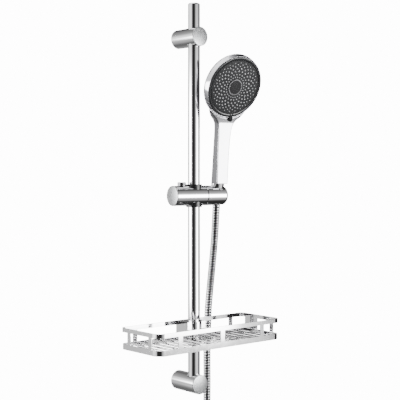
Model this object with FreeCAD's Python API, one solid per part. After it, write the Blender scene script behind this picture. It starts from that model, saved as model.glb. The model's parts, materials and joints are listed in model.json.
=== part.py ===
import FreeCAD, Part
import math
import os

# Shower slide rail: wall rail with two brackets, sliding and swivelling hand shower holder,
# hand shower with its hose, and a wire-floored basket clamped on the rail.
# Millimetres. +Z up, the wall is the plane Y = 0, the room is on the -Y side.
# The origin is midway between the two wall fixings, on the wall.

# Driving dimensions

# Rail
RAIL_D = 22.0
RAIL_WALL = 1.2
RAIL_LENGTH = 700.0
RAIL_STANDOFF = 45.0
RAIL_END_BELOW_BRACKET = 8.0
RAIL_END_ABOVE_BRACKET = 62.0
RAIL_CAP_HEIGHT = 8.0
RAIL_CAP_ROUND = 3.0
RAIL_CAP_SPIGOT_DEPTH = 12.0

# Wall brackets
BRACKET_D = 35.0
BRACKET_FRONT = 19.0
BRACKET_CAP_THICK = 3.0
CAP_EDGE = 0.8
BRACKET_CAP_SPIGOT = 4.0
BRACKET_WALL = 3.0
BUSH_WALL = 1.0
BUSH_HEIGHT = 24.0
BOSS_LENGTH = 10.0
BOSS_POCKET_DEPTH = 15.0
SCREW_HOLE_D = 5.5
SCREW_HEAD_D = 10.5
SCREW_HEAD_DEPTH = 4.0
GRUB_D = 5.0
GRUB_Y = -6.0
GRUB_GROOVE_DEPTH = 1.6
GRUB_HEX = 2.5
GRUB_HEX_DEPTH = 1.8
GRUB_RECESS = 0.4

# Fits
RUNNING_FIT = 0.08
SEAT_FIT = 0.05
FREE_GAP = 0.3

# Slider, along its own axis from the rail's axis: the holder is on the positive side
SLIDER_ABOVE_LOWER_BRACKET = 341.6
SLIDER_SWIVEL_DEG = -5.5
SLIDER_D = 36.5
SLIDER_LEFT = 48.8
SLIDER_BODY_RIGHT = 19.5
SLIDER_CAP_THICK = 3.0
SLIDER_CAP_SPIGOT = 4.0
SLIDER_CHAMBER_D = 26.0
SLIDER_CHAMBER_END = -19.0
SLIDER_BUSH_D = 29.0
SLIDER_BUSH_PROUD = 2.5
FRICTION_WASHER_THICK = 1.6
FRICTION_WASHER_D = 33.0

# Release button and brake
BUTTON_FROM_RAIL = 27.0
BUTTON_D = 15.6
BUTTON_TOP = 24.7
BUTTON_BOTTOM = 9.5
BUTTON_EDGE = 1.0
WEDGE_SLOPE = 0.7
BLADE_WIDTH = 4.0
BLADE_THICK = 5.0
BLADE_BOTTOM = -6.5
SHOE_TIP_D = 8.0
SHOE_GAP_TO_RAIL = 0.3
CARRIAGE_HALF_WIDTH = 5.5
CARRIAGE_TOP = 6.0
CARRIAGE_LENGTH = 14.0
CARRIAGE_START = -19.5
WINDOW_SWING_DEG = 58.0
SPRING_WIRE = 1.0
SPRING_D = 9.0
SPRING_TURNS = 3
SPRING_WIRE_SIDES = 6

# Holder
HOLDER_RIGHT = 67.3
HOLDER_END_ROUND = 7.0
HOLDER_EDGE = 0.5
HOLDER_LEAN_DEG = 6.3
HOLE_FROM_RAIL = 51.8
SLOT_WIDTH = 15.5
PIVOT_D = 8.0
PIVOT_HEAD_D = 13.0
PIVOT_HEAD_THICK = 4.0
PIVOT_HEX = 5.0
PIVOT_HEX_DEPTH = 2.5
PIVOT_SHOULDER = 30.0
PIVOT_THREAD_DEPTH = 4.2
SPRING_WASHER_THICK = 1.5

# Hose nut, along the handset's axis from the slider's axis
NUT_TOP = 22.7
NUT_BOTTOM = -15.0
NUT_TOP_D = 24.6
NUT_BOTTOM_D = 18.0
THREAD_D = 20.4
THREAD_CLEARANCE = 0.8
NUT_THREAD_END = 8.0
FERRULE_FLANGE_THICK = 3.0
FERRULE_D = 15.6
FERRULE_BOTTOM = -12.0
FERRULE_BORE = 9.0
WASHER_THICK = 2.2
WASHER_BORE = 11.0

# Handset, along its own axis. The handle's sections are given as share of its length, width,
# front and back, and the neck's as rise from the foot of the face, width, front and back
HANDLE_BOTTOM = 23.0
NIPPLE_LENGTH = 9.2
WATERWAY_D = 10.0
WATERWAY_FORWARD = 3.0
ELBOW_LENGTH = 26.0
ELBOW_LEAN_DEG = 35.5
HANDLE_FRONT_CORNER = 2.5
HANDLE_BACK_CORNER = 8.0
HANDLE_SECTIONS = [
    (0.0, 23.6, 15.0, 10.0),
    (0.629, 25.8, 12.0, 9.0),
    (1.0, 28.6, 12.4, 7.7),
]
NECK_SECTIONS = [
    (-22.5, 28.6, 12.4, 7.7),
    (-9.5, 34.5, 13.4, 5.0),
    (-2.5, 45.0, 14.6, 2.5),
    (4.5, 62.0, 16.4, -1.5),
    (15.5, 78.0, 19.5, -7.5),
]
HEAD_D = 119.0
HEAD_RIM_WALL = 1.0
HEAD_RIM_FRONT = 0.3
FACE_FORWARD = 33.0
FACE_FOOT_HEIGHT = 142.5
FACE_TILT_DEG = 16.0
RIM_DEPTH = 11.0
HEAD_DEPTH = 25.0
HEAD_BACK_STEPS = 10
HEAD_BACK_FULLNESS = 1.15
CAVITY_WALL = 8.3
CAVITY_DEPTH = 8.0
CAVITY_FLOOR_SHARE = 0.376
CAVITY_FLOOR_DEPTH = 19.5
FACE_LIP = 1.0
RING_WIDTH = 9.0
RING_PROUD = 1.6
RING_BEVEL = 1.4
LEVER_PROUD = 6.5
LEVER_WIDTH = 8.4
LEVER_THICK = 2.2
LEVER_ROOT = 4.0
LEVER_ANGLE_DEG = -84.0
FACE_PLATE_PROUD = 0.6
FACE_PLATE_THICK = 5.0
HUB_D = 25.6
HUB_PROUD = 1.8
HUB_EDGE = 0.6
HUB_RING_D = 29.6
HUB_RING_PROUD = 1.3
NOZZLE_RING_SHARES = [0.326, 0.414, 0.516, 0.602, 0.674, 0.730, 0.786]
NOZZLE_RING_SIZES = [2.1, 2.4, 2.8, 2.7, 2.3, 2.1, 1.9]
NOZZLES_PER_RING = 24
NOZZLE_PROUD = 1.1
NOZZLE_SIDES = 6
FACE_SPIGOT_DEPTH = 3.0

# Basket, from the rail's axis and the lower bracket's axis
BASKET_HALF_WIDTH = 145.0
BASKET_FRONT = 80.0
BASKET_BACK = 28.2
BASKET_TOP = 113.1
BASKET_BOTTOM = 75.3
BASKET_FRONT_CORNER = 17.0
BASKET_BACK_CORNER = 9.0
BAND_THICK = 2.4
TOP_BAND_HEIGHT = 7.3
BASE_BAND_HEIGHT = 10.0
BASE_INSET = 1.0
POST_WIDTH = 9.0
FRONT_POST_FROM_END = 49.0
END_POST_FRONT = -55.0
END_POST_BACK = 4.5
WIDE_POST_WIDTH = 34.0
WIDE_POST_CENTRE = 0.0
BACK_POST_FROM_END = 31.0
ROD_D = 4.0
ROD_PITCH = 16.8
ROD_CENTRE_BELOW_BASE_TOP = 3.2
CLAMP_NOSE_D = 28.0
CLAMP_WIDTH = 44.0
CLAMP_BLOCK_FRONT = 7.5
CLAMP_BLOCK_EDGE = 1.0
CLAMP_SCREW_D = 6.0
CLAMP_SCREW_RECESS = 0.5
CLAMP_SCREW_LENGTH = 2.5
CLAMP_SCREW_HEX = 3.0
CLAMP_SCREW_HEX_DEPTH = 1.5
CLAMP_PAD_GAP = 0.1

# Hose
HOSE_D = 14.0
END_NUT_D = 24.0
END_NUT_LENGTH = 16.0
END_NUT_BORE = 18.8
END_NUT_BORE_DEPTH = 9.0
COIL_CENTRE = (-9.0, -150.0)
COIL_RADIUS = 72.0
COIL_PITCH = 14.5
COIL_TURNS = 2.0
COIL_SLACK = 0.4
HOSE_BACK_FROM_RAIL = 36.5
TAIL_LENGTH = 58.0
LEAD_ABOVE_COIL = 52.0
TIE_WIDTH = 12.0
TIE_THICK = 1.0
TIE_ROOM = 0.6
TIE_ANGLE_DEG = 150.0

# The hose's free route: right of the rail's axis, back from it, above the lower bracket's axis
HOSE_LEAD_OUT = 38.0
SWIVEL_CORNER = (56.5, 6.5, 270.0)
DROP_ROUTE = [
    (61.0, 16.4, 230.0),
    (64.9, 26.5, 190.0),
    (67.4, 33.6, 160.0),
    (65.8, 36.5, 124.0),
    (64.4, 36.6, 84.0),
    (62.7, 36.4, 42.0),
    (63.4, 36.4, -8.0),
    (63.0, 36.5, -54.0),
    (63.0, 36.5, -98.0),
]

# Values worked out from the driving dimensions
RAIL_Y = -RAIL_STANDOFF
BRACKET_SPACING = RAIL_LENGTH - RAIL_END_BELOW_BRACKET - RAIL_END_ABOVE_BRACKET
LOWER_Z = -BRACKET_SPACING / 2
UPPER_Z = BRACKET_SPACING / 2
RAIL_BOTTOM_Z = LOWER_Z - RAIL_END_BELOW_BRACKET
TUBE_TOP_Z = RAIL_BOTTOM_Z + RAIL_LENGTH - RAIL_CAP_HEIGHT
RAIL_BORE_D = RAIL_D - 2 * RAIL_WALL
SLIDER_Z = LOWER_Z + SLIDER_ABOVE_LOWER_BRACKET
BUSH_D = RAIL_D + 2 * BUSH_WALL + 2 * SEAT_FIT
POCKET_D = BRACKET_D - 2 * BRACKET_WALL
HOLDER_LEFT = SLIDER_BODY_RIGHT + FRICTION_WASHER_THICK
SLIDER_R = SLIDER_D / 2
BASKET_TOP_Z = LOWER_Z + BASKET_TOP
BASKET_BOTTOM_Z = LOWER_Z + BASKET_BOTTOM
HEAD_SEAT = FACE_PLATE_PROUD - FACE_PLATE_THICK
FACE_D = HEAD_D - 2 * HEAD_RIM_WALL
FACE_HEIGHT = FACE_FOOT_HEIGHT + FACE_D / 2
RING_INNER_D = FACE_D - 2 * RING_WIDTH
CLAMP_SCREW_OUTER_END = CLAMP_WIDTH / 2 - CLAMP_SCREW_RECESS
CAVITY_D = FACE_D - 2 * CAVITY_WALL
ROD_COUNT = int(2 * (BASKET_HALF_WIDTH - BASKET_FRONT_CORNER) / ROD_PITCH) + 1
COIL_DEPTH = COIL_TURNS * COIL_PITCH + HOSE_D + 2 * COIL_SLACK

X_AXIS = FreeCAD.Vector(1, 0, 0)
Y_AXIS = FreeCAD.Vector(0, 1, 0)
Z_AXIS = FreeCAD.Vector(0, 0, 1)


def vec(x, y, z):
    return FreeCAD.Vector(x, y, z)


def cylinder(diameter, length, base, axis):
    return Part.makeCylinder(diameter / 2, length, base, axis)


def tube(outer, inner, length, base, axis):
    return cylinder(outer, length, base, axis).cut(cylinder(inner, length, base, axis))


def box(low, high):
    size = high - low
    return Part.makeBox(size.x, size.y, size.z, low)


def revolved(profile, axis=Z_AXIS):
    """Turn an outline of (radius, height) points about Z, then lay Z along axis."""
    points = [vec(r, 0, h) for r, h in profile]
    face = Part.Face(Part.makePolygon(points + [points[0]]))
    solid = face.revolve(vec(0, 0, 0), Z_AXIS, 360)
    solid.Placement = FreeCAD.Placement(vec(0, 0, 0), FreeCAD.Rotation(Z_AXIS, axis))
    return solid


def edges_on_circle(shape, diameter, along, where):
    """Round edges of a given diameter whose centre lies at a given place along an axis."""
    found = []
    for edge in shape.Edges:
        if isinstance(edge.Curve, Part.Circle) and abs(2 * edge.Curve.Radius - diameter) < 0.01:
            if abs(edge.Curve.Center.dot(along) - where) < 0.01:
                found.append(edge)
    return found


def moved(shape, placement):
    copy = shape.copy()
    copy.Placement = placement.multiply(copy.Placement)
    return copy


def slider_frame():
    """The slider's own frame: X along its axis, seen from the front the holder is on the right."""
    turn = FreeCAD.Rotation(Z_AXIS, SLIDER_SWIVEL_DEG)
    return FreeCAD.Placement(vec(0, RAIL_Y, SLIDER_Z), turn)


def holder_frame():
    """The slider's frame leaned forward about its own axis, as the holder stands."""
    lean = FreeCAD.Placement(vec(0, 0, 0), FreeCAD.Rotation(X_AXIS, HOLDER_LEAN_DEG))
    return slider_frame().multiply(lean)


def face_frame():
    """The spray face: Z out of the face, X along the slider's axis, Y up the face."""
    centre = vec(HOLE_FROM_RAIL, -FACE_FORWARD, FACE_HEIGHT)
    turn = FreeCAD.Rotation(X_AXIS, 90 + FACE_TILT_DEG)
    return holder_frame().multiply(FreeCAD.Placement(centre, turn))


# Rail

def rail_tube():
    length = TUBE_TOP_Z - RAIL_BOTTOM_Z
    return tube(RAIL_D, RAIL_BORE_D, length, vec(0, RAIL_Y, RAIL_BOTTOM_Z), Z_AXIS)


def rail_top_cap():
    base = vec(0, RAIL_Y, TUBE_TOP_Z)
    head = cylinder(RAIL_D, RAIL_CAP_HEIGHT, base, Z_AXIS)
    top = edges_on_circle(head, RAIL_D, Z_AXIS, TUBE_TOP_Z + RAIL_CAP_HEIGHT)
    head = head.makeFillet(RAIL_CAP_ROUND, top)
    spigot_d = RAIL_BORE_D - 2 * SEAT_FIT
    spigot = cylinder(spigot_d, RAIL_CAP_SPIGOT_DEPTH, base - Z_AXIS * RAIL_CAP_SPIGOT_DEPTH, Z_AXIS)
    return head.fuse(spigot).removeSplitter()


# Wall brackets

def bracket_body(z, rail_passes):
    front_y = RAIL_Y - BRACKET_FRONT + BRACKET_CAP_THICK
    body = cylinder(BRACKET_D, -front_y, vec(0, front_y, z), Y_AXIS)
    cap_pocket = cylinder(POCKET_D, BRACKET_CAP_SPIGOT + SEAT_FIT, vec(0, front_y, z), Y_AXIS)
    boss_pocket = cylinder(POCKET_D, BOSS_POCKET_DEPTH, vec(0, -BOSS_POCKET_DEPTH, z), Y_AXIS)
    bore_low = -BRACKET_D if rail_passes else -RAIL_END_BELOW_BRACKET
    bore = cylinder(BUSH_D, BRACKET_D - bore_low, vec(0, RAIL_Y, z + bore_low), Z_AXIS)
    grub = cylinder(GRUB_D, BRACKET_D, vec(0, GRUB_Y, z), -Z_AXIS)
    return body.cut(cap_pocket).cut(boss_pocket).cut(bore).cut(grub)


def bracket_cap(z):
    front_y = RAIL_Y - BRACKET_FRONT
    disc = cylinder(BRACKET_D, BRACKET_CAP_THICK, vec(0, front_y, z), Y_AXIS)
    disc = disc.makeChamfer(CAP_EDGE, edges_on_circle(disc, BRACKET_D, Y_AXIS, front_y))
    back = vec(0, front_y + BRACKET_CAP_THICK, z)
    spigot = cylinder(POCKET_D - 2 * SEAT_FIT, BRACKET_CAP_SPIGOT, back, Y_AXIS)
    return disc.fuse(spigot).removeSplitter()


def rail_bush(z, rail_passes):
    low = -BUSH_HEIGHT / 2 if rail_passes else -RAIL_END_BELOW_BRACKET
    base = vec(0, RAIL_Y, z + low)
    outer = BUSH_D - 2 * SEAT_FIT
    return tube(outer, RAIL_D + 2 * SEAT_FIT, BUSH_HEIGHT / 2 - low, base, Z_AXIS)


def wall_boss(z):
    outer_r = POCKET_D / 2 - SEAT_FIT
    groove_r = outer_r - GRUB_GROOVE_DEPTH
    half = GRUB_D / 2 + FREE_GAP
    hole_r = SCREW_HOLE_D / 2
    profile = [
        (hole_r, 0),
        (outer_r, 0),
        (outer_r, -GRUB_Y - half),
        (groove_r, -GRUB_Y - half),
        (groove_r, -GRUB_Y + half),
        (outer_r, -GRUB_Y + half),
        (outer_r, BOSS_LENGTH),
        (SCREW_HEAD_D / 2, BOSS_LENGTH),
        (SCREW_HEAD_D / 2, BOSS_LENGTH - SCREW_HEAD_DEPTH),
        (hole_r, BOSS_LENGTH - SCREW_HEAD_DEPTH),
    ]
    boss = revolved(profile, -Y_AXIS)
    boss.translate(vec(0, 0, z))
    return boss


def grub_screw(z):
    tip_r = POCKET_D / 2 - SEAT_FIT - GRUB_GROOVE_DEPTH
    foot_r = BRACKET_D / 2 - GRUB_RECESS
    screw = cylinder(GRUB_D - 2 * SEAT_FIT, foot_r - tip_r, vec(0, GRUB_Y, z - tip_r), -Z_AXIS)
    socket = hexagon_prism(GRUB_HEX, GRUB_HEX_DEPTH, vec(0, GRUB_Y, z - foot_r), Z_AXIS)
    return screw.cut(socket)


def hexagon_prism(across_flats, length, base, axis):
    return regular_prism(6, across_flats / math.cos(math.pi / 6) / 2, length, base, axis)


def regular_prism(sides, radius, length, base, axis):
    prism = Part.Face(prism_wire(sides, radius, 0)).extrude(vec(0, 0, length))
    prism.Placement = FreeCAD.Placement(base, FreeCAD.Rotation(Z_AXIS, axis))
    return prism


# Slider: bush, body, end cap, release button and brake

def slider_bush():
    half = SLIDER_R + SLIDER_BUSH_PROUD
    sleeve = tube(SLIDER_BUSH_D, RAIL_D + 2 * RUNNING_FIT, 2 * half, vec(0, 0, -half), Z_AXIS)
    window_half = SHOE_TIP_D / 2 + FREE_GAP
    sector = Part.makeCylinder(
        SLIDER_BUSH_D, 2 * window_half, vec(0, 0, -window_half), Z_AXIS, 2 * WINDOW_SWING_DEG
    )
    sector.rotate(vec(0, 0, 0), Z_AXIS, 180 - WINDOW_SWING_DEG)
    return sleeve.cut(sector)


def slider_body():
    left = -SLIDER_LEFT + SLIDER_CAP_THICK
    body = cylinder(SLIDER_D, SLIDER_BODY_RIGHT - left, vec(left, 0, 0), X_AXIS)
    chamber = cylinder(SLIDER_CHAMBER_D, SLIDER_CHAMBER_END - left, vec(left, 0, 0), X_AXIS)
    bush_bore = cylinder(SLIDER_BUSH_D + 2 * RUNNING_FIT, 2 * SLIDER_D, vec(0, 0, -SLIDER_D), Z_AXIS)
    chamber_end = vec(SLIDER_CHAMBER_END, 0, 0)
    shoe_bore = cylinder(SHOE_TIP_D + 2 * RUNNING_FIT, -SLIDER_CHAMBER_END, chamber_end, X_AXIS)
    button_bore = cylinder(BUTTON_D + 2 * RUNNING_FIT, SLIDER_D, vec(-BUTTON_FROM_RAIL, 0, 0), Z_AXIS)
    thread_base = vec(SLIDER_BODY_RIGHT - PIVOT_THREAD_DEPTH, 0, 0)
    pivot_bore = cylinder(PIVOT_D + 2 * SEAT_FIT, PIVOT_THREAD_DEPTH, thread_base, X_AXIS)
    body = body.cut(chamber).cut(bush_bore).cut(shoe_bore).cut(button_bore)
    return body.cut(pivot_bore)


def slider_end_cap():
    disc = cylinder(SLIDER_D, SLIDER_CAP_THICK, vec(-SLIDER_LEFT, 0, 0), X_AXIS)
    disc = disc.makeChamfer(CAP_EDGE, edges_on_circle(disc, SLIDER_D, X_AXIS, -SLIDER_LEFT))
    back = vec(-SLIDER_LEFT + SLIDER_CAP_THICK, 0, 0)
    spigot = cylinder(SLIDER_CHAMBER_D - 2 * SEAT_FIT, SLIDER_CAP_SPIGOT, back, X_AXIS)
    return disc.fuse(spigot).removeSplitter()


def wedge_bar(width, thick, top, bottom):
    """A bar that leans along X as it goes down, so that pressing it moves what it passes through."""
    points = []
    for side, z in ((-1, bottom), (1, bottom), (1, top), (-1, top)):
        x = -BUTTON_FROM_RAIL - WEDGE_SLOPE * z + side * thick / 2
        points.append(vec(x, -width / 2, z))
    return Part.Face(Part.makePolygon(points + [points[0]])).extrude(vec(0, width, 0))


def release_button():
    base = vec(-BUTTON_FROM_RAIL, 0, BUTTON_BOTTOM)
    button = cylinder(BUTTON_D, BUTTON_TOP - BUTTON_BOTTOM, base, Z_AXIS)
    button = button.makeChamfer(BUTTON_EDGE, edges_on_circle(button, BUTTON_D, Z_AXIS, BUTTON_TOP))
    blade = wedge_bar(BLADE_WIDTH, BLADE_THICK, BUTTON_BOTTOM + 1.0, BLADE_BOTTOM)
    return button.fuse(blade).removeSplitter()


def brake_shoe():
    tip_end = -(RAIL_D / 2 + SHOE_GAP_TO_RAIL)
    tip = cylinder(SHOE_TIP_D, tip_end - CARRIAGE_START, vec(CARRIAGE_START, 0, 0), X_AXIS)
    low = vec(CARRIAGE_START - CARRIAGE_LENGTH, -CARRIAGE_HALF_WIDTH, -CARRIAGE_TOP)
    carriage = box(low, vec(CARRIAGE_START, CARRIAGE_HALF_WIDTH, CARRIAGE_TOP))
    slot = wedge_bar(BLADE_WIDTH + 2 * FREE_GAP, BLADE_THICK + 2 * FREE_GAP, SLIDER_D, -SLIDER_D)
    return carriage.fuse(tip).cut(slot)


def brake_spring():
    start = -SLIDER_LEFT + SLIDER_CAP_THICK + SLIDER_CAP_SPIGOT
    end = CARRIAGE_START - CARRIAGE_LENGTH
    height = end - start - SPRING_WIRE
    radius = (SPRING_D - SPRING_WIRE) / 2
    helix = Part.makeHelix(height / SPRING_TURNS, height, radius)
    ring = prism_wire(SPRING_WIRE_SIDES, SPRING_WIRE / 2, 0)
    ring.Placement = FreeCAD.Placement(vec(radius, 0, 0), FreeCAD.Rotation(Z_AXIS, Y_AXIS))
    spring = Part.Wire(helix).makePipeShell([ring], True, True)
    place = FreeCAD.Placement(vec(start + SPRING_WIRE / 2, 0, 0), FreeCAD.Rotation(Z_AXIS, X_AXIS))
    return moved(spring, place)


# Holder and its pivot

def friction_washer():
    base = vec(SLIDER_BODY_RIGHT + SEAT_FIT, 0, 0)
    thick = FRICTION_WASHER_THICK - 2 * SEAT_FIT
    return tube(FRICTION_WASHER_D, PIVOT_D + 2 * SEAT_FIT, thick, base, X_AXIS)


def pivot_bolt():
    start = SLIDER_BODY_RIGHT - PIVOT_THREAD_DEPTH + SEAT_FIT
    head_at = PIVOT_SHOULDER + SPRING_WASHER_THICK + SEAT_FIT
    shank = cylinder(PIVOT_D, head_at - start, vec(start, 0, 0), X_AXIS)
    head = cylinder(PIVOT_HEAD_D, PIVOT_HEAD_THICK, vec(head_at, 0, 0), X_AXIS)
    socket = hexagon_prism(PIVOT_HEX, PIVOT_HEX_DEPTH, vec(head_at + PIVOT_HEAD_THICK, 0, 0), -X_AXIS)
    return shank.fuse(head).removeSplitter().cut(socket)


def spring_washer():
    base = vec(PIVOT_SHOULDER, 0, 0)
    return tube(PIVOT_HEAD_D - FREE_GAP, PIVOT_D + 2 * RUNNING_FIT, SPRING_WASHER_THICK, base, X_AXIS)


def nut_radius(height):
    share = (height - NUT_BOTTOM) / (NUT_TOP - NUT_BOTTOM)
    return (NUT_BOTTOM_D + share * (NUT_TOP_D - NUT_BOTTOM_D)) / 2


def holder_socket():
    body = cylinder(SLIDER_D, HOLDER_RIGHT - HOLDER_LEFT, vec(HOLDER_LEFT, 0, 0), X_AXIS)
    body = body.makeFillet(HOLDER_END_ROUND, edges_on_circle(body, SLIDER_D, X_AXIS, HOLDER_RIGHT))
    body = body.makeChamfer(HOLDER_EDGE, edges_on_circle(body, SLIDER_D, X_AXIS, HOLDER_LEFT))
    seat = Part.makeCone(
        nut_radius(-SLIDER_D) + SEAT_FIT,
        nut_radius(SLIDER_D) + SEAT_FIT,
        2 * SLIDER_D,
        vec(HOLE_FROM_RAIL, 0, -SLIDER_D),
        Z_AXIS,
    )
    slot_low = vec(HOLE_FROM_RAIL, -SLOT_WIDTH / 2, -SLIDER_D)
    slot = box(slot_low, vec(HOLDER_RIGHT + HOLDER_END_ROUND, SLOT_WIDTH / 2, SLIDER_D))
    head_room = HOLE_FROM_RAIL - PIVOT_SHOULDER
    head_bore = cylinder(PIVOT_HEAD_D + 2 * FREE_GAP, head_room, vec(PIVOT_SHOULDER, 0, 0), X_AXIS)
    shank_bore = cylinder(PIVOT_D + 2 * RUNNING_FIT, PIVOT_SHOULDER, vec(0, 0, 0), X_AXIS)
    return body.cut(seat).cut(slot).cut(head_bore).cut(shank_bore)


# Hose nut and what it holds

def hose_cone_nut():
    throat = HOSE_D / 2 + FREE_GAP
    profile = [
        (nut_radius(NUT_BOTTOM), NUT_BOTTOM),
        (nut_radius(NUT_TOP), NUT_TOP),
        (THREAD_D / 2, NUT_TOP),
        (THREAD_D / 2, NUT_THREAD_END),
        (FERRULE_D / 2 + SEAT_FIT, NUT_THREAD_END),
        (FERRULE_D / 2 + SEAT_FIT, FERRULE_BOTTOM),
        (throat, FERRULE_BOTTOM),
        (throat, NUT_BOTTOM),
    ]
    nut = revolved(profile)
    nut.translate(vec(HOLE_FROM_RAIL, 0, 0))
    return nut


def hose_ferrule():
    flange_top = NUT_THREAD_END + FERRULE_FLANGE_THICK
    profile = [
        (FERRULE_BORE / 2, FERRULE_BOTTOM),
        (FERRULE_D / 2, FERRULE_BOTTOM),
        (FERRULE_D / 2, NUT_THREAD_END),
        (THREAD_D / 2 - THREAD_CLEARANCE, NUT_THREAD_END),
        (THREAD_D / 2 - THREAD_CLEARANCE, flange_top),
        (FERRULE_BORE / 2, flange_top),
    ]
    ferrule = revolved(profile)
    ferrule.translate(vec(HOLE_FROM_RAIL, 0, 0))
    return ferrule


def inlet_washer():
    base = vec(HOLE_FROM_RAIL, 0, NUT_THREAD_END + FERRULE_FLANGE_THICK)
    return tube(THREAD_D - 2 * THREAD_CLEARANCE, WASHER_BORE, WASHER_THICK, base, Z_AXIS)


# Handset

def rounded_section(height, width, front, back):
    """The handle's section: a flat front with small corners and a back with large ones."""
    half = width / 2
    deep = front + back
    rf = HANDLE_FRONT_CORNER
    rb = min(HANDLE_BACK_CORNER, 0.4 * deep, 0.4 * width)
    corners = [
        (half, -front, rf, -90),
        (half, back, rb, 0),
        (-half, back, rb, 90),
        (-half, -front, rf, 180),
    ]
    centres = []
    for x, y, r, start in corners:
        cx = HOLE_FROM_RAIL + x - math.copysign(r, x)
        cy = y + r if y == -front else y - r
        centres.append((cx, cy, r, start))
    return rounded_outline(centres, height)


def rounded_outline(corners, height):
    """A closed wire of quarter arcs, each given by its centre, radius and starting angle."""
    arcs = []
    for cx, cy, r, start in corners:
        points = []
        for turn in (0, 45, 90):
            angle = math.radians(start + turn)
            points.append(vec(cx + r * math.cos(angle), cy + r * math.sin(angle), height))
        arcs.append(points)
    edges = []
    for i, points in enumerate(arcs):
        edges.append(Part.Arc(*points).toShape())
        following = arcs[(i + 1) % len(arcs)][0]
        edges.append(Part.LineSegment(points[2], following).toShape())
    return Part.Wire(edges)


def lofted(sections):
    wires = [rounded_section(*section) for section in sections]
    return Part.makeLoft(wires, True, True)


def head_back():
    """The round back of the head and its rim, which stands round the face's ring."""
    radius = HEAD_D / 2
    over = HEAD_DEPTH - RIM_DEPTH
    outline = [(0, -HEAD_DEPTH)]
    for i in range(1, HEAD_BACK_STEPS + 1):
        angle = math.radians(90.0 * i / HEAD_BACK_STEPS)
        depth = RIM_DEPTH + over * math.cos(angle) ** HEAD_BACK_FULLNESS
        outline.append((radius * math.sin(angle), -depth))
    outline.append((radius, HEAD_RIM_FRONT))
    outline.append((0, HEAD_RIM_FRONT))
    return revolved(outline)


def head_cavity():
    outline = [
        (0, -CAVITY_FLOOR_DEPTH),
        (FACE_D / 2 * CAVITY_FLOOR_SHARE, -CAVITY_FLOOR_DEPTH),
        (CAVITY_D / 2, -CAVITY_DEPTH),
        (CAVITY_D / 2, RING_PROUD),
        (0, RING_PROUD),
    ]
    return revolved(outline)


def handset_body():
    to_holder = holder_frame().inverse().multiply(face_frame())
    head = moved(head_back(), to_holder)
    cavity = moved(head_cavity(), to_holder)
    recess = moved(cylinder(FACE_D, HEAD_DEPTH, vec(0, 0, HEAD_SEAT), Z_AXIS), to_holder)
    handle_length = FACE_FOOT_HEIGHT + NECK_SECTIONS[0][0] - HANDLE_BOTTOM
    handle = lofted([(HANDLE_BOTTOM + share * handle_length, *rest) for share, *rest in HANDLE_SECTIONS])
    neck = lofted([(FACE_FOOT_HEIGHT + rise, *rest) for rise, *rest in NECK_SECTIONS])
    nipple_base = vec(HOLE_FROM_RAIL, 0, HANDLE_BOTTOM - NIPPLE_LENGTH)
    nipple = cylinder(THREAD_D - 2 * SEAT_FIT, NIPPLE_LENGTH, nipple_base, Z_AXIS)
    waterway_top = FACE_FOOT_HEIGHT + NECK_SECTIONS[-1][0] - WATERWAY_D
    waterway_base = vec(HOLE_FROM_RAIL, -WATERWAY_FORWARD, 0)
    waterway = cylinder(WATERWAY_D, waterway_top, waterway_base, Z_AXIS)
    elbow_base = waterway_base + Z_AXIS * (waterway_top - WATERWAY_D / 2)
    lean = math.radians(ELBOW_LEAN_DEG)
    elbow = cylinder(WATERWAY_D, ELBOW_LENGTH, elbow_base, vec(0, -math.sin(lean), math.cos(lean)))
    solid = head.fuse(neck).cut(recess).cut(cavity)
    solid = solid.fuse(handle).fuse(nipple).cut(waterway).cut(elbow)
    return solid.removeSplitter()


def selector_ring():
    """The dark outer ring of the face, with the lever that turns it."""
    outer_r = FACE_D / 2 - RUNNING_FIT
    inner_r = RING_INNER_D / 2 + RUNNING_FIT
    lip_z = FACE_PLATE_PROUD - FACE_LIP - RUNNING_FIT
    lip_r = inner_r + FACE_LIP
    profile = [
        (inner_r, HEAD_SEAT + RUNNING_FIT),
        (outer_r, HEAD_SEAT + RUNNING_FIT),
        (outer_r, RING_PROUD - RING_BEVEL),
        (outer_r - RING_BEVEL, RING_PROUD),
        (lip_r + RING_BEVEL / 2, RING_PROUD),
        (lip_r, FACE_PLATE_PROUD),
        (lip_r, lip_z),
        (inner_r, lip_z),
    ]
    ring = revolved(profile)
    half = LEVER_WIDTH / 2
    back = HEAD_RIM_FRONT + FREE_GAP
    tip_centre = HEAD_D / 2 + LEVER_PROUD - half
    lever = box(vec(outer_r - LEVER_ROOT, -half, back), vec(tip_centre, half, back + LEVER_THICK))
    lever = lever.fuse(cylinder(LEVER_WIDTH, LEVER_THICK, vec(tip_centre, 0, back), Z_AXIS))
    lever = lever.removeSplitter()
    lever.rotate(vec(0, 0, 0), Z_AXIS, LEVER_ANGLE_DEG)
    return ring.fuse(lever).removeSplitter()


def face_plate():
    """The plate with the nozzles: a lip over the selector ring and a spigot into the head."""
    lip_r = RING_INNER_D / 2 + FACE_LIP
    spigot_r = CAVITY_D / 2 - SEAT_FIT
    profile = [
        (0, HEAD_SEAT - FACE_SPIGOT_DEPTH),
        (spigot_r, HEAD_SEAT - FACE_SPIGOT_DEPTH),
        (spigot_r, HEAD_SEAT),
        (RING_INNER_D / 2, HEAD_SEAT),
        (RING_INNER_D / 2, FACE_PLATE_PROUD - FACE_LIP),
        (lip_r, FACE_PLATE_PROUD - FACE_LIP),
        (lip_r, FACE_PLATE_PROUD),
        (0, FACE_PLATE_PROUD),
    ]
    return revolved(profile)


def face_hub():
    hub = cylinder(HUB_D, HUB_PROUD, vec(0, 0, FACE_PLATE_PROUD), Z_AXIS)
    rim = edges_on_circle(hub, HUB_D, Z_AXIS, FACE_PLATE_PROUD + HUB_PROUD)
    return hub.makeChamfer(HUB_EDGE, rim)


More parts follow.
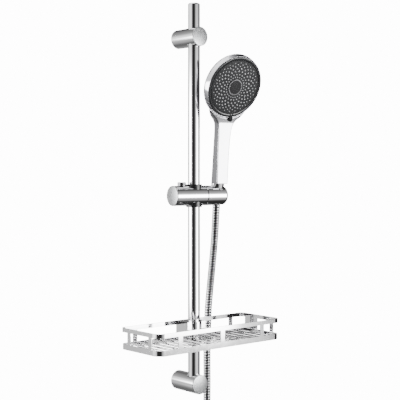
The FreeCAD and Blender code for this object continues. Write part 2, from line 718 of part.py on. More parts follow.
def hub_ring():
    inner = HUB_D + 2 * SEAT_FIT
    return tube(HUB_RING_D, inner, HUB_RING_PROUD, vec(0, 0, FACE_PLATE_PROUD), Z_AXIS)


def spray_nozzles():
    """Seven staggered rings of soft nozzles, larger in the middle rings."""
    nozzles = []
    step = 360.0 / NOZZLES_PER_RING
    for ring, (share, size) in enumerate(zip(NOZZLE_RING_SHARES, NOZZLE_RING_SIZES)):
        radius = share * FACE_D / 2
        for i in range(NOZZLES_PER_RING):
            angle = math.radians(step * (i + 0.5 * (ring % 2)))
            spot = vec(radius * math.cos(angle), radius * math.sin(angle), FACE_PLATE_PROUD)
            nozzles.append(nozzle(size).translated(spot))
    return Part.makeCompound(nozzles)


def nozzle(size):
    return regular_prism(NOZZLE_SIDES, size / 2, NOZZLE_PROUD, vec(0, 0, 0), Z_AXIS)


def prism_wire(sides, radius, height):
    points = []
    for i in range(sides):
        angle = 2 * math.pi * i / sides
        points.append(vec(radius * math.cos(angle), radius * math.sin(angle), height))
    return Part.makePolygon(points + [points[0]])


# Basket

def rounded_plan(inset, z):
    """The basket's outline, a rectangle with larger corners at the front than at the back."""
    x = BASKET_HALF_WIDTH - inset
    front = RAIL_Y - BASKET_FRONT + inset
    back = RAIL_Y + BASKET_BACK - inset
    rf = BASKET_FRONT_CORNER - inset
    rb = BASKET_BACK_CORNER - inset
    corners = [
        (x - rf, front + rf, rf, -90),
        (x - rb, back - rb, rb, 0),
        (rb - x, back - rb, rb, 90),
        (rf - x, front + rf, rf, 180),
    ]
    return Part.Face(rounded_outline(corners, z))


def band(inset, z, height):
    outer = rounded_plan(inset, z).extrude(vec(0, 0, height))
    return outer.cut(rounded_plan(inset + BAND_THICK, z).extrude(vec(0, 0, height)))


def basket_top_rim():
    return band(0, BASKET_TOP_Z - TOP_BAND_HEIGHT, TOP_BAND_HEIGHT)


def basket_base_rim():
    return band(BASE_INSET, BASKET_BOTTOM_Z, BASE_BAND_HEIGHT)


def basket_posts():
    low = BASKET_BOTTOM_Z + BASE_BAND_HEIGHT
    high = BASKET_TOP_Z - TOP_BAND_HEIGHT
    thick = BAND_THICK - BASE_INSET
    front = RAIL_Y - BASKET_FRONT + BASE_INSET
    back = RAIL_Y + BASKET_BACK - BASE_INSET - thick
    side = BASKET_HALF_WIDTH - BASE_INSET - thick
    posts = []
    front_post = BASKET_HALF_WIDTH - FRONT_POST_FROM_END
    for x in (-front_post, 0, front_post):
        posts.append(Part.makeBox(POST_WIDTH, thick, high - low, vec(x - POST_WIDTH / 2, front, low)))
    back_post = BASKET_HALF_WIDTH - BACK_POST_FROM_END
    for x in (-back_post, back_post):
        posts.append(Part.makeBox(POST_WIDTH, thick, high - low, vec(x - POST_WIDTH / 2, back, low)))
    end_posts = [
        (-side - thick, END_POST_FRONT, POST_WIDTH),
        (-side - thick, END_POST_BACK, POST_WIDTH),
        (side, END_POST_FRONT, POST_WIDTH),
        (side, WIDE_POST_CENTRE, WIDE_POST_WIDTH),
    ]
    for x, y, width in end_posts:
        posts.append(Part.makeBox(thick, width, high - low, vec(x, RAIL_Y + y - width / 2, low)))
    return Part.makeCompound(posts)


def clamp_outline(z, height):
    """A block that reaches back to the basket's rear bands, with a round nose about the rail."""
    half = CLAMP_WIDTH / 2
    nose = cylinder(CLAMP_NOSE_D, height, vec(0, RAIL_Y, z), Z_AXIS)
    low = vec(-half, RAIL_Y - CLAMP_BLOCK_FRONT, z)
    block = box(low, vec(half, RAIL_Y + BASKET_BACK - BAND_THICK, z + height))
    front = [e for e in block.Edges if is_upright(e) and e.CenterOfMass.y < RAIL_Y]
    return nose.fuse(block.makeChamfer(CLAMP_BLOCK_EDGE, front)).removeSplitter()


def is_upright(edge):
    box_of_edge = edge.BoundBox
    return box_of_edge.XLength < 0.01 and box_of_edge.YLength < 0.01


def basket_clamp_body():
    height = BASKET_TOP_Z - BASKET_BOTTOM_Z
    body = clamp_outline(BASKET_BOTTOM_Z, height)
    base_back = RAIL_Y + BASKET_BACK - BASE_INSET - BAND_THICK
    relief = box(
        vec(-CLAMP_WIDTH, base_back, BASKET_BOTTOM_Z),
        vec(CLAMP_WIDTH, base_back + BASKET_BACK, BASKET_TOP_Z - TOP_BAND_HEIGHT),
    )
    bore = cylinder(RAIL_D + 2 * RUNNING_FIT, height, vec(0, RAIL_Y, BASKET_BOTTOM_Z), Z_AXIS)
    middle = BASKET_BOTTOM_Z + height / 2
    screw_bore = cylinder(CLAMP_SCREW_D, CLAMP_WIDTH, vec(0, RAIL_Y, middle), X_AXIS)
    return body.cut(relief).cut(bore).cut(screw_bore)


def basket_clamp_screw():
    middle = (BASKET_BOTTOM_Z + BASKET_TOP_Z) / 2
    end = vec(CLAMP_SCREW_OUTER_END, RAIL_Y, middle)
    screw = cylinder(CLAMP_SCREW_D - 2 * SEAT_FIT, CLAMP_SCREW_LENGTH, end, -X_AXIS)
    return screw.cut(hexagon_prism(CLAMP_SCREW_HEX, CLAMP_SCREW_HEX_DEPTH, end, -X_AXIS))


def basket_clamp_pad():
    middle = (BASKET_BOTTOM_Z + BASKET_TOP_Z) / 2
    end = CLAMP_SCREW_OUTER_END - CLAMP_SCREW_LENGTH
    pad = cylinder(CLAMP_SCREW_D - 2 * SEAT_FIT, end, vec(0, RAIL_Y, middle), X_AXIS)
    rail_base = vec(0, RAIL_Y, middle - CLAMP_SCREW_D / 2)
    return pad.cut(cylinder(RAIL_D + 2 * CLAMP_PAD_GAP, CLAMP_SCREW_D, rail_base, Z_AXIS))


def basket_floor_rods():
    """Round rods from the front band to the rear one, cut short where they meet the clamp."""
    z = BASKET_BOTTOM_Z + BASE_BAND_HEIGHT - ROD_CENTRE_BELOW_BASE_TOP
    front = RAIL_Y - BASKET_FRONT + BASE_INSET + BAND_THICK
    back = RAIL_Y + BASKET_BACK - BASE_INSET - BAND_THICK
    keep_out = clamp_outline(BASKET_BOTTOM_Z, BASKET_TOP_Z - BASKET_BOTTOM_Z)
    rods = []
    for i in range(ROD_COUNT):
        x = (i - (ROD_COUNT - 1) / 2) * ROD_PITCH
        rod = cylinder(ROD_D, back - front, vec(x, front, z), Y_AXIS)
        if abs(x) < CLAMP_WIDTH / 2 + ROD_D / 2:
            rod = rod.cut(keep_out)
            rod = rod.Solids[0]
        rods.append(rod)
    return Part.makeCompound(rods)


# Hose: its free lengths, the put-away turns and the end nut

def row_point(right, back, up):
    """A point given from the rail's axis and the lower bracket's axis, in the row's frame."""
    return vec(right, RAIL_Y + back, LOWER_Z + up)


def bent_tube(points):
    """A tube of straight runs joined by tangent arcs, each as large as its two runs allow."""
    edges = []
    start = points[0]
    for i in range(1, len(points) - 1):
        before = points[i] - points[i - 1]
        after = points[i + 1] - points[i]
        turn = before.getAngle(after)
        shorter = min(before.Length, after.Length)
        trim = 0.45 * shorter
        radius = trim / math.tan(turn / 2)
        unit_in = vec(*before).normalize()
        unit_out = vec(*after).normalize()
        arc_start = points[i] - unit_in * trim
        arc_end = points[i] + unit_out * trim
        inward = (unit_out - unit_in).normalize()
        middle = points[i] + inward * (radius / math.cos(turn / 2) - radius)
        edges.append(Part.LineSegment(start, arc_start).toShape())
        edges.append(Part.Arc(arc_start, middle, arc_end).toShape())
        start = arc_end
    edges.append(Part.LineSegment(start, points[-1]).toShape())
    path = Part.Wire(edges)
    direction = (points[1] - points[0]).normalize()
    ring = Part.Wire(Part.makeCircle(HOSE_D / 2, points[0], direction))
    return path.makePipeShell([ring], True, False)


def hose_corners():
    """The corners of the hose's free route, from inside the cone nut to the coil's lead."""
    along = (FERRULE_BOTTOM, -HOSE_LEAD_OUT)
    corners = [holder_frame().multVec(vec(HOLE_FROM_RAIL, 0, u)) for u in along]
    corners.append(row_point(*SWIVEL_CORNER))
    return corners + [row_point(*p) for p in DROP_ROUTE]


def halfway(a, b):
    return (a + b) / 2


def hose_tubes():
    """The free hose in four lengths that meet face to face in the middle of straight runs."""
    corners = hose_corners()
    exit_end = halfway(corners[0], corners[1])
    tilt_end = halfway(corners[1], corners[2])
    swivel_end = halfway(corners[2], corners[3])
    return {
        "hose_exit_tube": bent_tube([corners[0], exit_end]),
        "hose_tilt_tube": bent_tube([exit_end, corners[1], tilt_end]),
        "hose_swivel_tube": bent_tube([tilt_end, corners[2], swivel_end]),
        "hose_drop_tube": bent_tube([swivel_end] + corners[3:]),
    }


def hose_coil():
    """The put-away turns as one ring, with the straight lead that the hose comes down on."""
    thick = HOSE_D + 2 * COIL_SLACK
    outer = 2 * COIL_RADIUS + thick
    ring = tube(outer, outer - 2 * thick, COIL_DEPTH, coil_front_centre(), Y_AXIS)
    lead_foot = row_point(COIL_CENTRE[0] + COIL_RADIUS, HOSE_BACK_FROM_RAIL, COIL_CENTRE[1])
    lead = cylinder(HOSE_D, LEAD_ABOVE_COIL, lead_foot, Z_AXIS)
    tail = cylinder(HOSE_D, TAIL_LENGTH, coil_tail_top(), -Z_AXIS)
    return ring.fuse([lead, tail]).removeSplitter()


def coil_front_centre():
    back = HOSE_BACK_FROM_RAIL + HOSE_D / 2 + COIL_SLACK
    return row_point(COIL_CENTRE[0], back - COIL_DEPTH, COIL_CENTRE[1])


def coil_tail_top():
    """Where the last turn ends, at the ring's right and one pitch per turn in front of the lead."""
    forward = HOSE_BACK_FROM_RAIL - COIL_TURNS * COIL_PITCH
    return row_point(COIL_CENTRE[0] + COIL_RADIUS, forward, COIL_CENTRE[1])


def hose_end_nut():
    top = coil_tail_top() - Z_AXIS * TAIL_LENGTH
    nut = hexagon_prism(END_NUT_D, END_NUT_LENGTH, top, -Z_AXIS)
    mouth = top - Z_AXIS * END_NUT_LENGTH
    return nut.cut(cylinder(END_NUT_BORE, END_NUT_BORE_DEPTH, mouth, Z_AXIS))


def hose_tie():
    """A flat strap round all the turns, worn square across the ring."""
    half = HOSE_D / 2 + COIL_SLACK
    low = vec(COIL_RADIUS - half - TIE_ROOM, 0, -TIE_WIDTH / 2)
    high = vec(COIL_RADIUS + half + TIE_ROOM, COIL_DEPTH, TIE_WIDTH / 2)
    strap = vec(TIE_THICK, TIE_THICK, 0)
    tie = box(low - strap, high + strap).cut(box(low, high))
    turn = FreeCAD.Rotation(Y_AXIS, -TIE_ANGLE_DEG)
    return moved(tie, FreeCAD.Placement(coil_front_centre(), turn))


def build():
    """Every piece by the name of its node."""
    nodes = {
        "rail_tube": rail_tube(),
        "rail_top_cap": rail_top_cap(),
    }
    for side, z, passes in (("upper", UPPER_Z, True), ("lower", LOWER_Z, False)):
        nodes[side + "_bracket_body"] = bracket_body(z, passes)
        nodes[side + "_bracket_cap"] = bracket_cap(z)
        nodes[side + "_rail_bush"] = rail_bush(z, passes)
        nodes[side + "_wall_boss"] = wall_boss(z)
        nodes[side + "_grub_screw"] = grub_screw(z)
    in_slider = {
        "slider_bush": slider_bush,
        "slider_body": slider_body,
        "slider_end_cap": slider_end_cap,
        "release_button": release_button,
        "brake_shoe": brake_shoe,
        "brake_spring": brake_spring,
        "friction_washer": friction_washer,
        "pivot_bolt": pivot_bolt,
    }
    for name, make in in_slider.items():
        nodes[name] = moved(make(), slider_frame())
    in_holder = {
        "holder_socket": holder_socket,
        "spring_washer": spring_washer,
        "hose_cone_nut": hose_cone_nut,
        "hose_ferrule": hose_ferrule,
        "inlet_washer": inlet_washer,
        "handset_body": handset_body,
    }
    for name, make in in_holder.items():
        nodes[name] = moved(make(), holder_frame())
    in_face = {
        "selector_ring": selector_ring,
        "face_plate": face_plate,
        "face_hub": face_hub,
        "hub_ring": hub_ring,
        "spray_nozzles": spray_nozzles,
    }
    for name, make in in_face.items():
        nodes[name] = moved(make(), face_frame())
    nodes["basket_top_rim"] = basket_top_rim()
    nodes["basket_base_rim"] = basket_base_rim()
    nodes["basket_posts"] = basket_posts()
    nodes["basket_floor_rods"] = basket_floor_rods()
    nodes["basket_clamp_body"] = basket_clamp_body()
    nodes["basket_clamp_screw"] = basket_clamp_screw()
    nodes["basket_clamp_pad"] = basket_clamp_pad()
    nodes.update(hose_tubes())
    nodes["hose_coil"] = hose_coil()
    nodes["hose_tie"] = hose_tie()
    nodes["hose_end_nut"] = hose_end_nut()
    return nodes


def export(nodes):
    os.makedirs("parts", exist_ok=True)
    for name, shape in nodes.items():
        if not shape.isValid():
            raise ValueError(name + " is not a valid solid")
        if not shape.Solids:
            raise ValueError(name + " has no solid")
        shape.exportStep("parts/" + name + ".step")


export(build())
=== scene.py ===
import json
import math

import bpy
from mathutils import Matrix, Vector


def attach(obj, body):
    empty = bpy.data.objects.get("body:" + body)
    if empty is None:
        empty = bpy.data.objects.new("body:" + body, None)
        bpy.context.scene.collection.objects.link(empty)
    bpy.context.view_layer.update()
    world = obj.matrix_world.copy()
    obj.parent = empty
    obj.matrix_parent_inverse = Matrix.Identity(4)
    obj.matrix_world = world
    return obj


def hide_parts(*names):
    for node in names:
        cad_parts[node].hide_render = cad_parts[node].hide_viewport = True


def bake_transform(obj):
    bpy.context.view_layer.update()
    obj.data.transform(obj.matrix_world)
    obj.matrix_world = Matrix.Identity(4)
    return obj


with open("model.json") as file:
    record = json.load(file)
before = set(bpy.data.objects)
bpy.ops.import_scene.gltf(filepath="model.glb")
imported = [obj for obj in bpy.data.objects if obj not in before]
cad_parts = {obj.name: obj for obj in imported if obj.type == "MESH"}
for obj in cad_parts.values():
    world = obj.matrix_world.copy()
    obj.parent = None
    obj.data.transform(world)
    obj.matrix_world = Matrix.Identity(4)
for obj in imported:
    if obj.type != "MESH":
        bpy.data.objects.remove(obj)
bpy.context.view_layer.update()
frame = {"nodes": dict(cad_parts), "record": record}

# Where things are, in metres, as in the part's source

RAIL_Y = -0.045
UPPER_Z = 0.315
LOWER_Z = -0.315
SLIDER_UP = 0.3416
SLIDER_Z = LOWER_Z + SLIDER_UP
SWIVEL = math.radians(-5.5)
LEAN = math.radians(6.3)
HOLE_FROM_RAIL = 0.0518
FACE_FORWARD = 0.033
FACE_HEIGHT = 0.201
FACE_TILT = math.radians(16.0)

# The head, along the face's own axis: heights are in front of the face, and depths behind it

HEAD_RADIUS = 0.0595
HEAD_DEPTH = 0.025
HEAD_RIM_FRONT = 0.0003
HEAD_SEAT = -0.0044
RIM_DEPTH = 0.011
FACE_PLATE_PROUD = 0.0006

# The hose

HOSE_RADIUS = 0.007
FERRULE_BOTTOM = -0.012
HOSE_LEAD_OUT = 0.038
HOSE_BACK_FROM_RAIL = 0.0365
SWIVEL_CORNER = (0.0565, 0.0065, 0.270)
DROP_ROUTE = [
    (0.0610, 0.0164, 0.230),
    (0.0649, 0.0265, 0.190),
    (0.0674, 0.0336, 0.160),
    (0.0658, 0.0365, 0.124),
    (0.0644, 0.0366, 0.084),
    (0.0627, 0.0364, 0.042),
    (0.0634, 0.0364, -0.008),
    (0.0630, 0.0365, -0.054),
    (0.0630, 0.0365, -0.098),
]
COIL_CENTRE = (-0.009, -0.150)
COIL_RADIUS = 0.072
COIL_PITCH = 0.0145
COIL_TURNS = 2
COIL_POINTS = 16
COIL_LEAD_END = 0.006
TAIL_LENGTH = 0.058
LINE_ORDER = 3
LINE_STEPS = 24
CARRY_STEP = 0.004
HOSE_RIB_PITCH = 0.0050
HOSE_RIB_DEPTH = 0.00075
HOSE_GROOVE = 0.30
LAND_FALL = 0.22
RINGS_PER_RIB = 10
POINTS_ROUND_HOSE = 28

# Camera, fitted to the photograph's edges

CAMERA_AT = (-1.1671, -1.4245, 0.0701)
CAMERA_LOOKS = (0.6505, 0.7595, 0.0)
CAMERA_LENS = 89.3
CAMERA_SENSOR = 36.0
CAMERA_CLIP = (0.05, 50.0)
CAMERA_SHIFT_Y = -0.0707
CAMERA_AZIMUTH = -40.6

slider_turn = Matrix.Translation((0, RAIL_Y, SLIDER_Z)) @ Matrix.Rotation(SWIVEL, 4, "Z")
holder_turn = slider_turn @ Matrix.Rotation(LEAN, 4, "X")
face_turn = (
    holder_turn
    @ Matrix.Translation((HOLE_FROM_RAIL, -FACE_FORWARD, FACE_HEIGHT))
    @ Matrix.Rotation(math.pi / 2 + FACE_TILT, 4, "X")
)


# Meshes

# The small ring on which a round skin closes at its axis
POLE = 0.0002


def link(name, mesh):
    piece = bpy.data.objects.new(name, mesh)
    bpy.context.scene.collection.objects.link(piece)
    return piece


def mesh_piece(name, points, faces, smooth=True):
    mesh = bpy.data.meshes.new(name)
    mesh.from_pydata(points, [], faces)
    mesh.validate()
    for polygon in mesh.polygons:
        polygon.use_smooth = smooth
    return link(name, mesh)


def apply_modifiers(piece):
    graph = bpy.context.evaluated_depsgraph_get()
    mesh = bpy.data.meshes.new_from_object(piece.evaluated_get(graph))
    piece.modifiers.clear()
    piece.data = mesh


def rings_to_mesh(rings, cap_start=True, cap_end=True):
    """Points and faces of a skin over rings that all have the same number of points."""
    count = len(rings[0])
    points = [p for ring in rings for p in ring]
    faces = []
    for i in range(len(rings) - 1):
        for j in range(count):
            a = i * count + j
            b = i * count + (j + 1) % count
            faces.append((a, b, b + count, a + count))
    if cap_start:
        faces.append(tuple(reversed(range(count))))
    if cap_end:
        faces.append(tuple(range((len(rings) - 1) * count, len(rings) * count)))
    return points, faces


def ring_at(radii, height, turn):
    """A ring of points about Z, with a radius for each point, laid in place."""
    ring = []
    for j, radius in enumerate(radii):
        angle = 2 * math.pi * j / len(radii)
        ring.append(turn @ Vector((radius * math.cos(angle), radius * math.sin(angle), height)))
    return ring


def turned(outline, around, turn, closed_ends=True):
    """A skin turned about Z from an outline of radius and height, then laid in place."""
    rings = [ring_at([radius] * around, height, turn) for radius, height in outline]
    return rings_to_mesh(rings, closed_ends, closed_ends)


def add_skin(points, faces, more_points, more_faces):
    """Puts a second skin's points and faces into the first one's lists."""
    offset = len(points)
    points += more_points
    faces += [tuple(i + offset for i in face) for face in more_faces]


# Materials

# The part of a noise's range in which nearly all its values lie
NOISE_LOW = 0.3
NOISE_HIGH = 0.7


def new_material(name, color, metallic=0.0, roughness=0.4):
    material = bpy.data.materials.new(name)
    material.use_nodes = True
    shader = material.node_tree.nodes["Principled BSDF"]
    shader.inputs["Base Color"].default_value = (*color, 1.0)
    shader.inputs["Metallic"].default_value = metallic
    shader.inputs["Roughness"].default_value = roughness
    return material, material.node_tree, shader


def coordinates(tree, scale):
    where = tree.nodes.new("ShaderNodeTexCoord")
    mapping = tree.nodes.new("ShaderNodeMapping")
    mapping.inputs["Scale"].default_value = scale
    tree.links.new(where.outputs["Object"], mapping.inputs["Vector"])
    return mapping.outputs["Vector"]


def noise(tree, scale, detail=3.0, stretch=(1.0, 1.0, 1.0)):
    texture = tree.nodes.new("ShaderNodeTexNoise")
    texture.inputs["Scale"].default_value = scale
    texture.inputs["Detail"].default_value = detail
    tree.links.new(coordinates(tree, stretch), texture.inputs["Vector"])
    return texture.outputs["Fac"]


def ranged(tree, value, low, high):
    spread = tree.nodes.new("ShaderNodeMapRange")
    spread.inputs["From Min"].default_value = NOISE_LOW
    spread.inputs["From Max"].default_value = NOISE_HIGH
    spread.inputs["To Min"].default_value = low
    spread.inputs["To Max"].default_value = high
    tree.links.new(value, spread.inputs["Value"])
    return spread.outputs["Result"]


def tinted(tree, shader, value, dark, light):
    ramp = tree.nodes.new("ShaderNodeValToRGB")
    ramp.color_ramp.elements[0].position = NOISE_LOW
    ramp.color_ramp.elements[0].color = (*dark, 1.0)
    ramp.color_ramp.elements[1].position = NOISE_HIGH
    ramp.color_ramp.elements[1].color = (*light, 1.0)
    tree.links.new(value, ramp.inputs["Fac"])
    tree.links.new(ramp.outputs["Color"], shader.inputs["Base Color"])


def bumped(tree, shader, value, strength, distance):
    bump = tree.nodes.new("ShaderNodeBump")
    bump.inputs["Strength"].default_value = strength
    bump.inputs["Distance"].default_value = distance
    tree.links.new(value, bump.inputs["Height"])
    tree.links.new(bump.outputs["Normal"], shader.inputs["Normal"])


def chrome_material(name, light, dark, low, high, drawn=(1.0, 1.0, 1.0)):
    """Plated metal: near mirror, with faint wiping marks in its gloss and plating ripple."""
    material, tree, shader = new_material(name, light, metallic=1.0, roughness=low)
    plating = noise(tree, scale=35.0, detail=4.0)
    wiping = noise(tree, scale=90.0, detail=6.0, stretch=drawn)
    ripple = noise(tree, scale=260.0, detail=2.0, stretch=drawn)
    tinted(tree, shader, plating, dark, light)
    tree.links.new(ranged(tree, wiping, low, high), shader.inputs["Roughness"])
    bumped(tree, shader, ripple, strength=0.02, distance=0.0002)
    return material


def satin_material(name, color, low, high):
    """Fine satin metal with turned rings too fine to count."""
    material, tree, shader = new_material(name, color, metallic=0.85, roughness=low)
    grain = noise(tree, scale=900.0, detail=5.0)
    darker = [0.9 * c for c in color]
    tinted(tree, shader, grain, darker, color)
    tree.links.new(ranged(tree, grain, low, high), shader.inputs["Roughness"])
    bumped(tree, shader, grain, strength=0.08, distance=0.0001)
    return material


def plastic_material(name, dark, light, low, high, grain_scale=1500.0, strength=0.1):
    """Moulded plastic or rubber: a fine grain in its gloss, and a little unevenness in its colour."""
    material, tree, shader = new_material(name, light, roughness=low)
    clouding = noise(tree, scale=60.0, detail=4.0)
    tinted(tree, shader, clouding, dark, light)
    grain = noise(tree, scale=grain_scale, detail=3.0)
    tree.links.new(ranged(tree, grain, low, high), shader.inputs["Roughness"])
    bumped(tree, shader, grain, strength, distance=0.0001)
    return material


DRAWN_ALONG_RAIL = (1.0, 1.0, 0.08)

chrome_tube = chrome_material(
    "rail chrome", (0.90, 0.90, 0.91), (0.86, 0.86, 0.87), 0.03, 0.06, DRAWN_ALONG_RAIL
)
chrome_fitting = chrome_material("fitting chrome", (0.89, 0.89, 0.90), (0.84, 0.84, 0.85), 0.035, 0.075)
chrome_wire = chrome_material("basket chrome", (0.89, 0.89, 0.90), (0.84, 0.84, 0.85), 0.04, 0.09)
handset_chrome = chrome_material("handset chrome", (0.55, 0.55, 0.57), (0.50, 0.50, 0.52), 0.05, 0.09)
hose_metal = chrome_material("hose metal", (0.55, 0.55, 0.56), (0.46, 0.46, 0.47), 0.10, 0.18)
# The groove material's dark colour is painted shade, standing in for the shadow inside the hose cover's
# grooves.
hose_groove_painted_shade = chrome_material("hose groove painted shade", (0.16, 0.16, 0.17), (0.10, 0.10, 0.11), 0.25, 0.40)
satin_cap = satin_material("satin cap", (0.50, 0.51, 0.52), 0.24, 0.32)
button_satin = satin_material("button satin", (0.15, 0.15, 0.155), 0.22, 0.32)
screw_steel = satin_material("screw steel", (0.56, 0.56, 0.57), 0.28, 0.40)
boss_metal = satin_material("boss metal", (0.60, 0.61, 0.62), 0.42, 0.55)
smoked_chrome = chrome_material("smoked chrome", (0.34, 0.34, 0.35), (0.26, 0.26, 0.27), 0.12, 0.20)
ferrule_brass = chrome_material("brass", (0.78, 0.60, 0.30), (0.66, 0.48, 0.22), 0.22, 0.34)
face_dark = plastic_material("face plastic", (0.016, 0.017, 0.019), (0.024, 0.025, 0.027), 0.10, 0.17)
hub_dark = plastic_material("hub plastic", (0.014, 0.014, 0.016), (0.020, 0.020, 0.022), 0.10, 0.16)
nozzle_rubber = plastic_material("nozzle silicone", (0.62, 0.63, 0.64), (0.72, 0.73, 0.74), 0.35, 0.5)
bush_plastic = plastic_material("bush plastic", (0.012, 0.012, 0.013), (0.02, 0.02, 0.021), 0.25, 0.35)
washer_rubber = plastic_material("washer rubber", (0.02, 0.02, 0.02), (0.03, 0.03, 0.03), 0.5, 0.65)
tie_strap = plastic_material("strap", (0.015, 0.015, 0.016), (0.028, 0.028, 0.03), 0.45, 0.6, 3000.0, 0.3)

slot_looks = {
    "chrome_tube": chrome_tube,
    "chrome_fitting": chrome_fitting,
    "chrome_wire": chrome_wire,
    "satin_cap": satin_cap,
    "handset_chrome": handset_chrome,
    "face_dark": face_dark,
    "nozzle_rubber": nozzle_rubber,
    "bush_plastic": bush_plastic,
    "boss_metal": boss_metal,
    "screw_steel": screw_steel,
    "ferrule_brass": ferrule_brass,
    "washer_rubber": washer_rubber,
    "hose_cover": hose_metal,
    "tie_strap": tie_strap,
}


def dress(piece, material):
    piece.data.materials.clear()
    piece.data.materials.append(material)


# Carried-over pieces: their own materials, and edges broken as a real edge is

EDGE_WIDTHS = {
    "upper_bracket_body": 0.0004,
    "lower_bracket_body": 0.0004,
    "slider_body": 0.0005,
    "release_button": 0.0005,
    "hose_cone_nut": 0.0006,
    "hose_end_nut": 0.0008,
    "face_plate": 0.0003,
    "face_hub": 0.0004,
    "hub_ring": 0.0002,
    "basket_top_rim": 0.0006,
    "basket_base_rim": 0.0006,
    "basket_posts": 0.0004,
    "basket_clamp_body": 0.0006,
    "hose_tie": 0.0003,
}
EDGE_ANGLE = math.radians(32)
EDGE_STEPS = 3

for subpart in frame["record"]["subparts"]:
    node = frame["nodes"][subpart["node"]]
    dress(node, slot_looks[subpart["material_slot"]])
    if subpart["node"] in EDGE_WIDTHS:
        edge = node.modifiers.new("edge", "BEVEL")
        edge.width = EDGE_WIDTHS[subpart["node"]]
        edge.segments = EDGE_STEPS
        edge.limit_method = "ANGLE"
        edge.angle_limit = EDGE_ANGLE
        edge.harden_normals = True
dress(frame["nodes"]["face_hub"], hub_dark)
dress(frame["nodes"]["hub_ring"], smoked_chrome)
dress(frame["nodes"]["release_button"], button_satin)


# Satin caps, slightly domed, with a broken edge and the spigot behind

CAP_THICK = 0.003
CAP_EDGE = 0.0008
CAP_CROWN = 0.0009
CAP_GAP = 0.0001
CAP_SPIGOT = 0.004
CAP_AROUND = 96
CAP_EDGE_STEPS = 6
CAP_FACE_STEPS = 12
BRACKET_RADIUS = 0.0175
BRACKET_FRONT_Y = -0.064
SLIDER_RADIUS = 0.01825
SLIDER_LEFT = 0.0488


def cap_outline(radius):
    """From the spigot's end out to the cap's back, round its edge and over its crown."""
    spigot = radius - CAP_THICK - CAP_GAP
    flat = radius - CAP_EDGE
    outline = [
        (POLE, -CAP_THICK - CAP_SPIGOT),
        (spigot, -CAP_THICK - CAP_SPIGOT),
        (spigot, -CAP_THICK),
        (radius - CAP_GAP, -CAP_THICK),
        (radius, -CAP_THICK + CAP_GAP),
    ]
    for i in range(CAP_EDGE_STEPS + 1):
        angle = math.pi / 2 * i / CAP_EDGE_STEPS
        height = -CAP_CROWN - CAP_EDGE * (1 - math.sin(angle))
        outline.append((flat + CAP_EDGE * math.cos(angle), height))
    for i in range(1, CAP_FACE_STEPS + 1):
        share = 1 - i / CAP_FACE_STEPS
        outline.append((max(flat * share, POLE), -CAP_CROWN * share ** 2))
    return outline


def domed_cap(node, radius, turn):
    points, faces = turned(cap_outline(radius), CAP_AROUND, turn)
    cap = mesh_piece(node + "_domed", points, faces)
    dress(cap, satin_cap)
    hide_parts(node)
    return cap


def bracket_front(up):
    return Matrix.Translation((0, BRACKET_FRONT_Y, up)) @ Matrix.Rotation(math.pi / 2, 4, "X")


upper_cap = domed_cap("upper_bracket_cap", BRACKET_RADIUS, bracket_front(UPPER_Z))
lower_cap = domed_cap("lower_bracket_cap", BRACKET_RADIUS, bracket_front(LOWER_Z))
leftward = Matrix.Translation((-SLIDER_LEFT, 0, 0)) @ Matrix.Rotation(-math.pi / 2, 4, "Y")
end_cap = domed_cap("slider_end_cap", SLIDER_RADIUS, slider_turn @ leftward)
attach(upper_cap, "wall_rail")
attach(lower_cap, "wall_rail")
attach(end_cap, "slider")


# Hand shower: handle, neck and the head's back in one smooth plated skin

# Height up the holder's axis, width, and how far it reaches in front of that axis and behind it
HANDLE_STATIONS = [
    (0.0230, 0.0236, 0.0150, 0.0100),
    (0.0840, 0.0258, 0.0120, 0.0090),
    (0.1200, 0.0286, 0.0124, 0.0077),
    (0.1330, 0.0345, 0.0134, 0.0050),
    (0.1400, 0.0450, 0.0146, 0.0025),
    (0.1470, 0.0620, 0.0164, -0.0015),
    (0.1580, 0.0780, 0.0195, -0.0075),
]
HANDLE_FOOT = 0.0230
HANDLE_LENGTH = 0.1348
HANDLE_STEPS = 90
FRONT_CORNER = 0.0014
BACK_CORNER = 0.0080
BACK_CORNER_SHARE = 0.4
CORNER_STEPS = 8
HEAD_BACK_STEPS = 48
HEAD_BACK_AROUND = 160
HEAD_BACK_CURVE = 1.15
SIDE_OVERLAP = 0.0030
SKIN_CELL = 0.0009
SKIN_ENDS = -0.0086
SKIN_SLACK = 0.0003
BLEND_STARTS = 0.126
BLEND_FULL = 0.142
BLEND_LEAST = 0.10
BLEND_STRENGTH = 0.5
BLEND_SMOOTHING = 14
SIDE_REACH = 0.0012

# Degrees round the face from the middle of the neck
NECK_EDGE = 38.0
NECK_FADE = 12.0


def hermite(a, b, slope_a, slope_b, t):
    """The smooth curve between two values with their slopes."""
    t2 = t * t
    t3 = t2 * t
    return (
        (2 * t3 - 3 * t2 + 1) * a
        + (t3 - 2 * t2 + t) * slope_a
        + (3 * t2 - 2 * t3) * b
        + (t3 - t2) * slope_b
    )


def between(stations, height):
    """Width, front and back of the handle at a height, by a smooth curve through the stations."""
    for i in range(len(stations) - 1):
        low, high = stations[i], stations[i + 1]
        if height <= high[0]:
            span = high[0] - low[0]
            before = stations[max(i - 1, 0)]
            after = stations[min(i + 2, len(stations) - 1)]
            values = []
            for k in (1, 2, 3):
                slope_low = span * (high[k] - before[k]) / (high[0] - before[0])
                slope_high = span * (after[k] - low[k]) / (after[0] - low[0])
                values.append(hermite(low[k], high[k], slope_low, slope_high, (height - low[0]) / span))
            return values
    return list(stations[-1][1:])


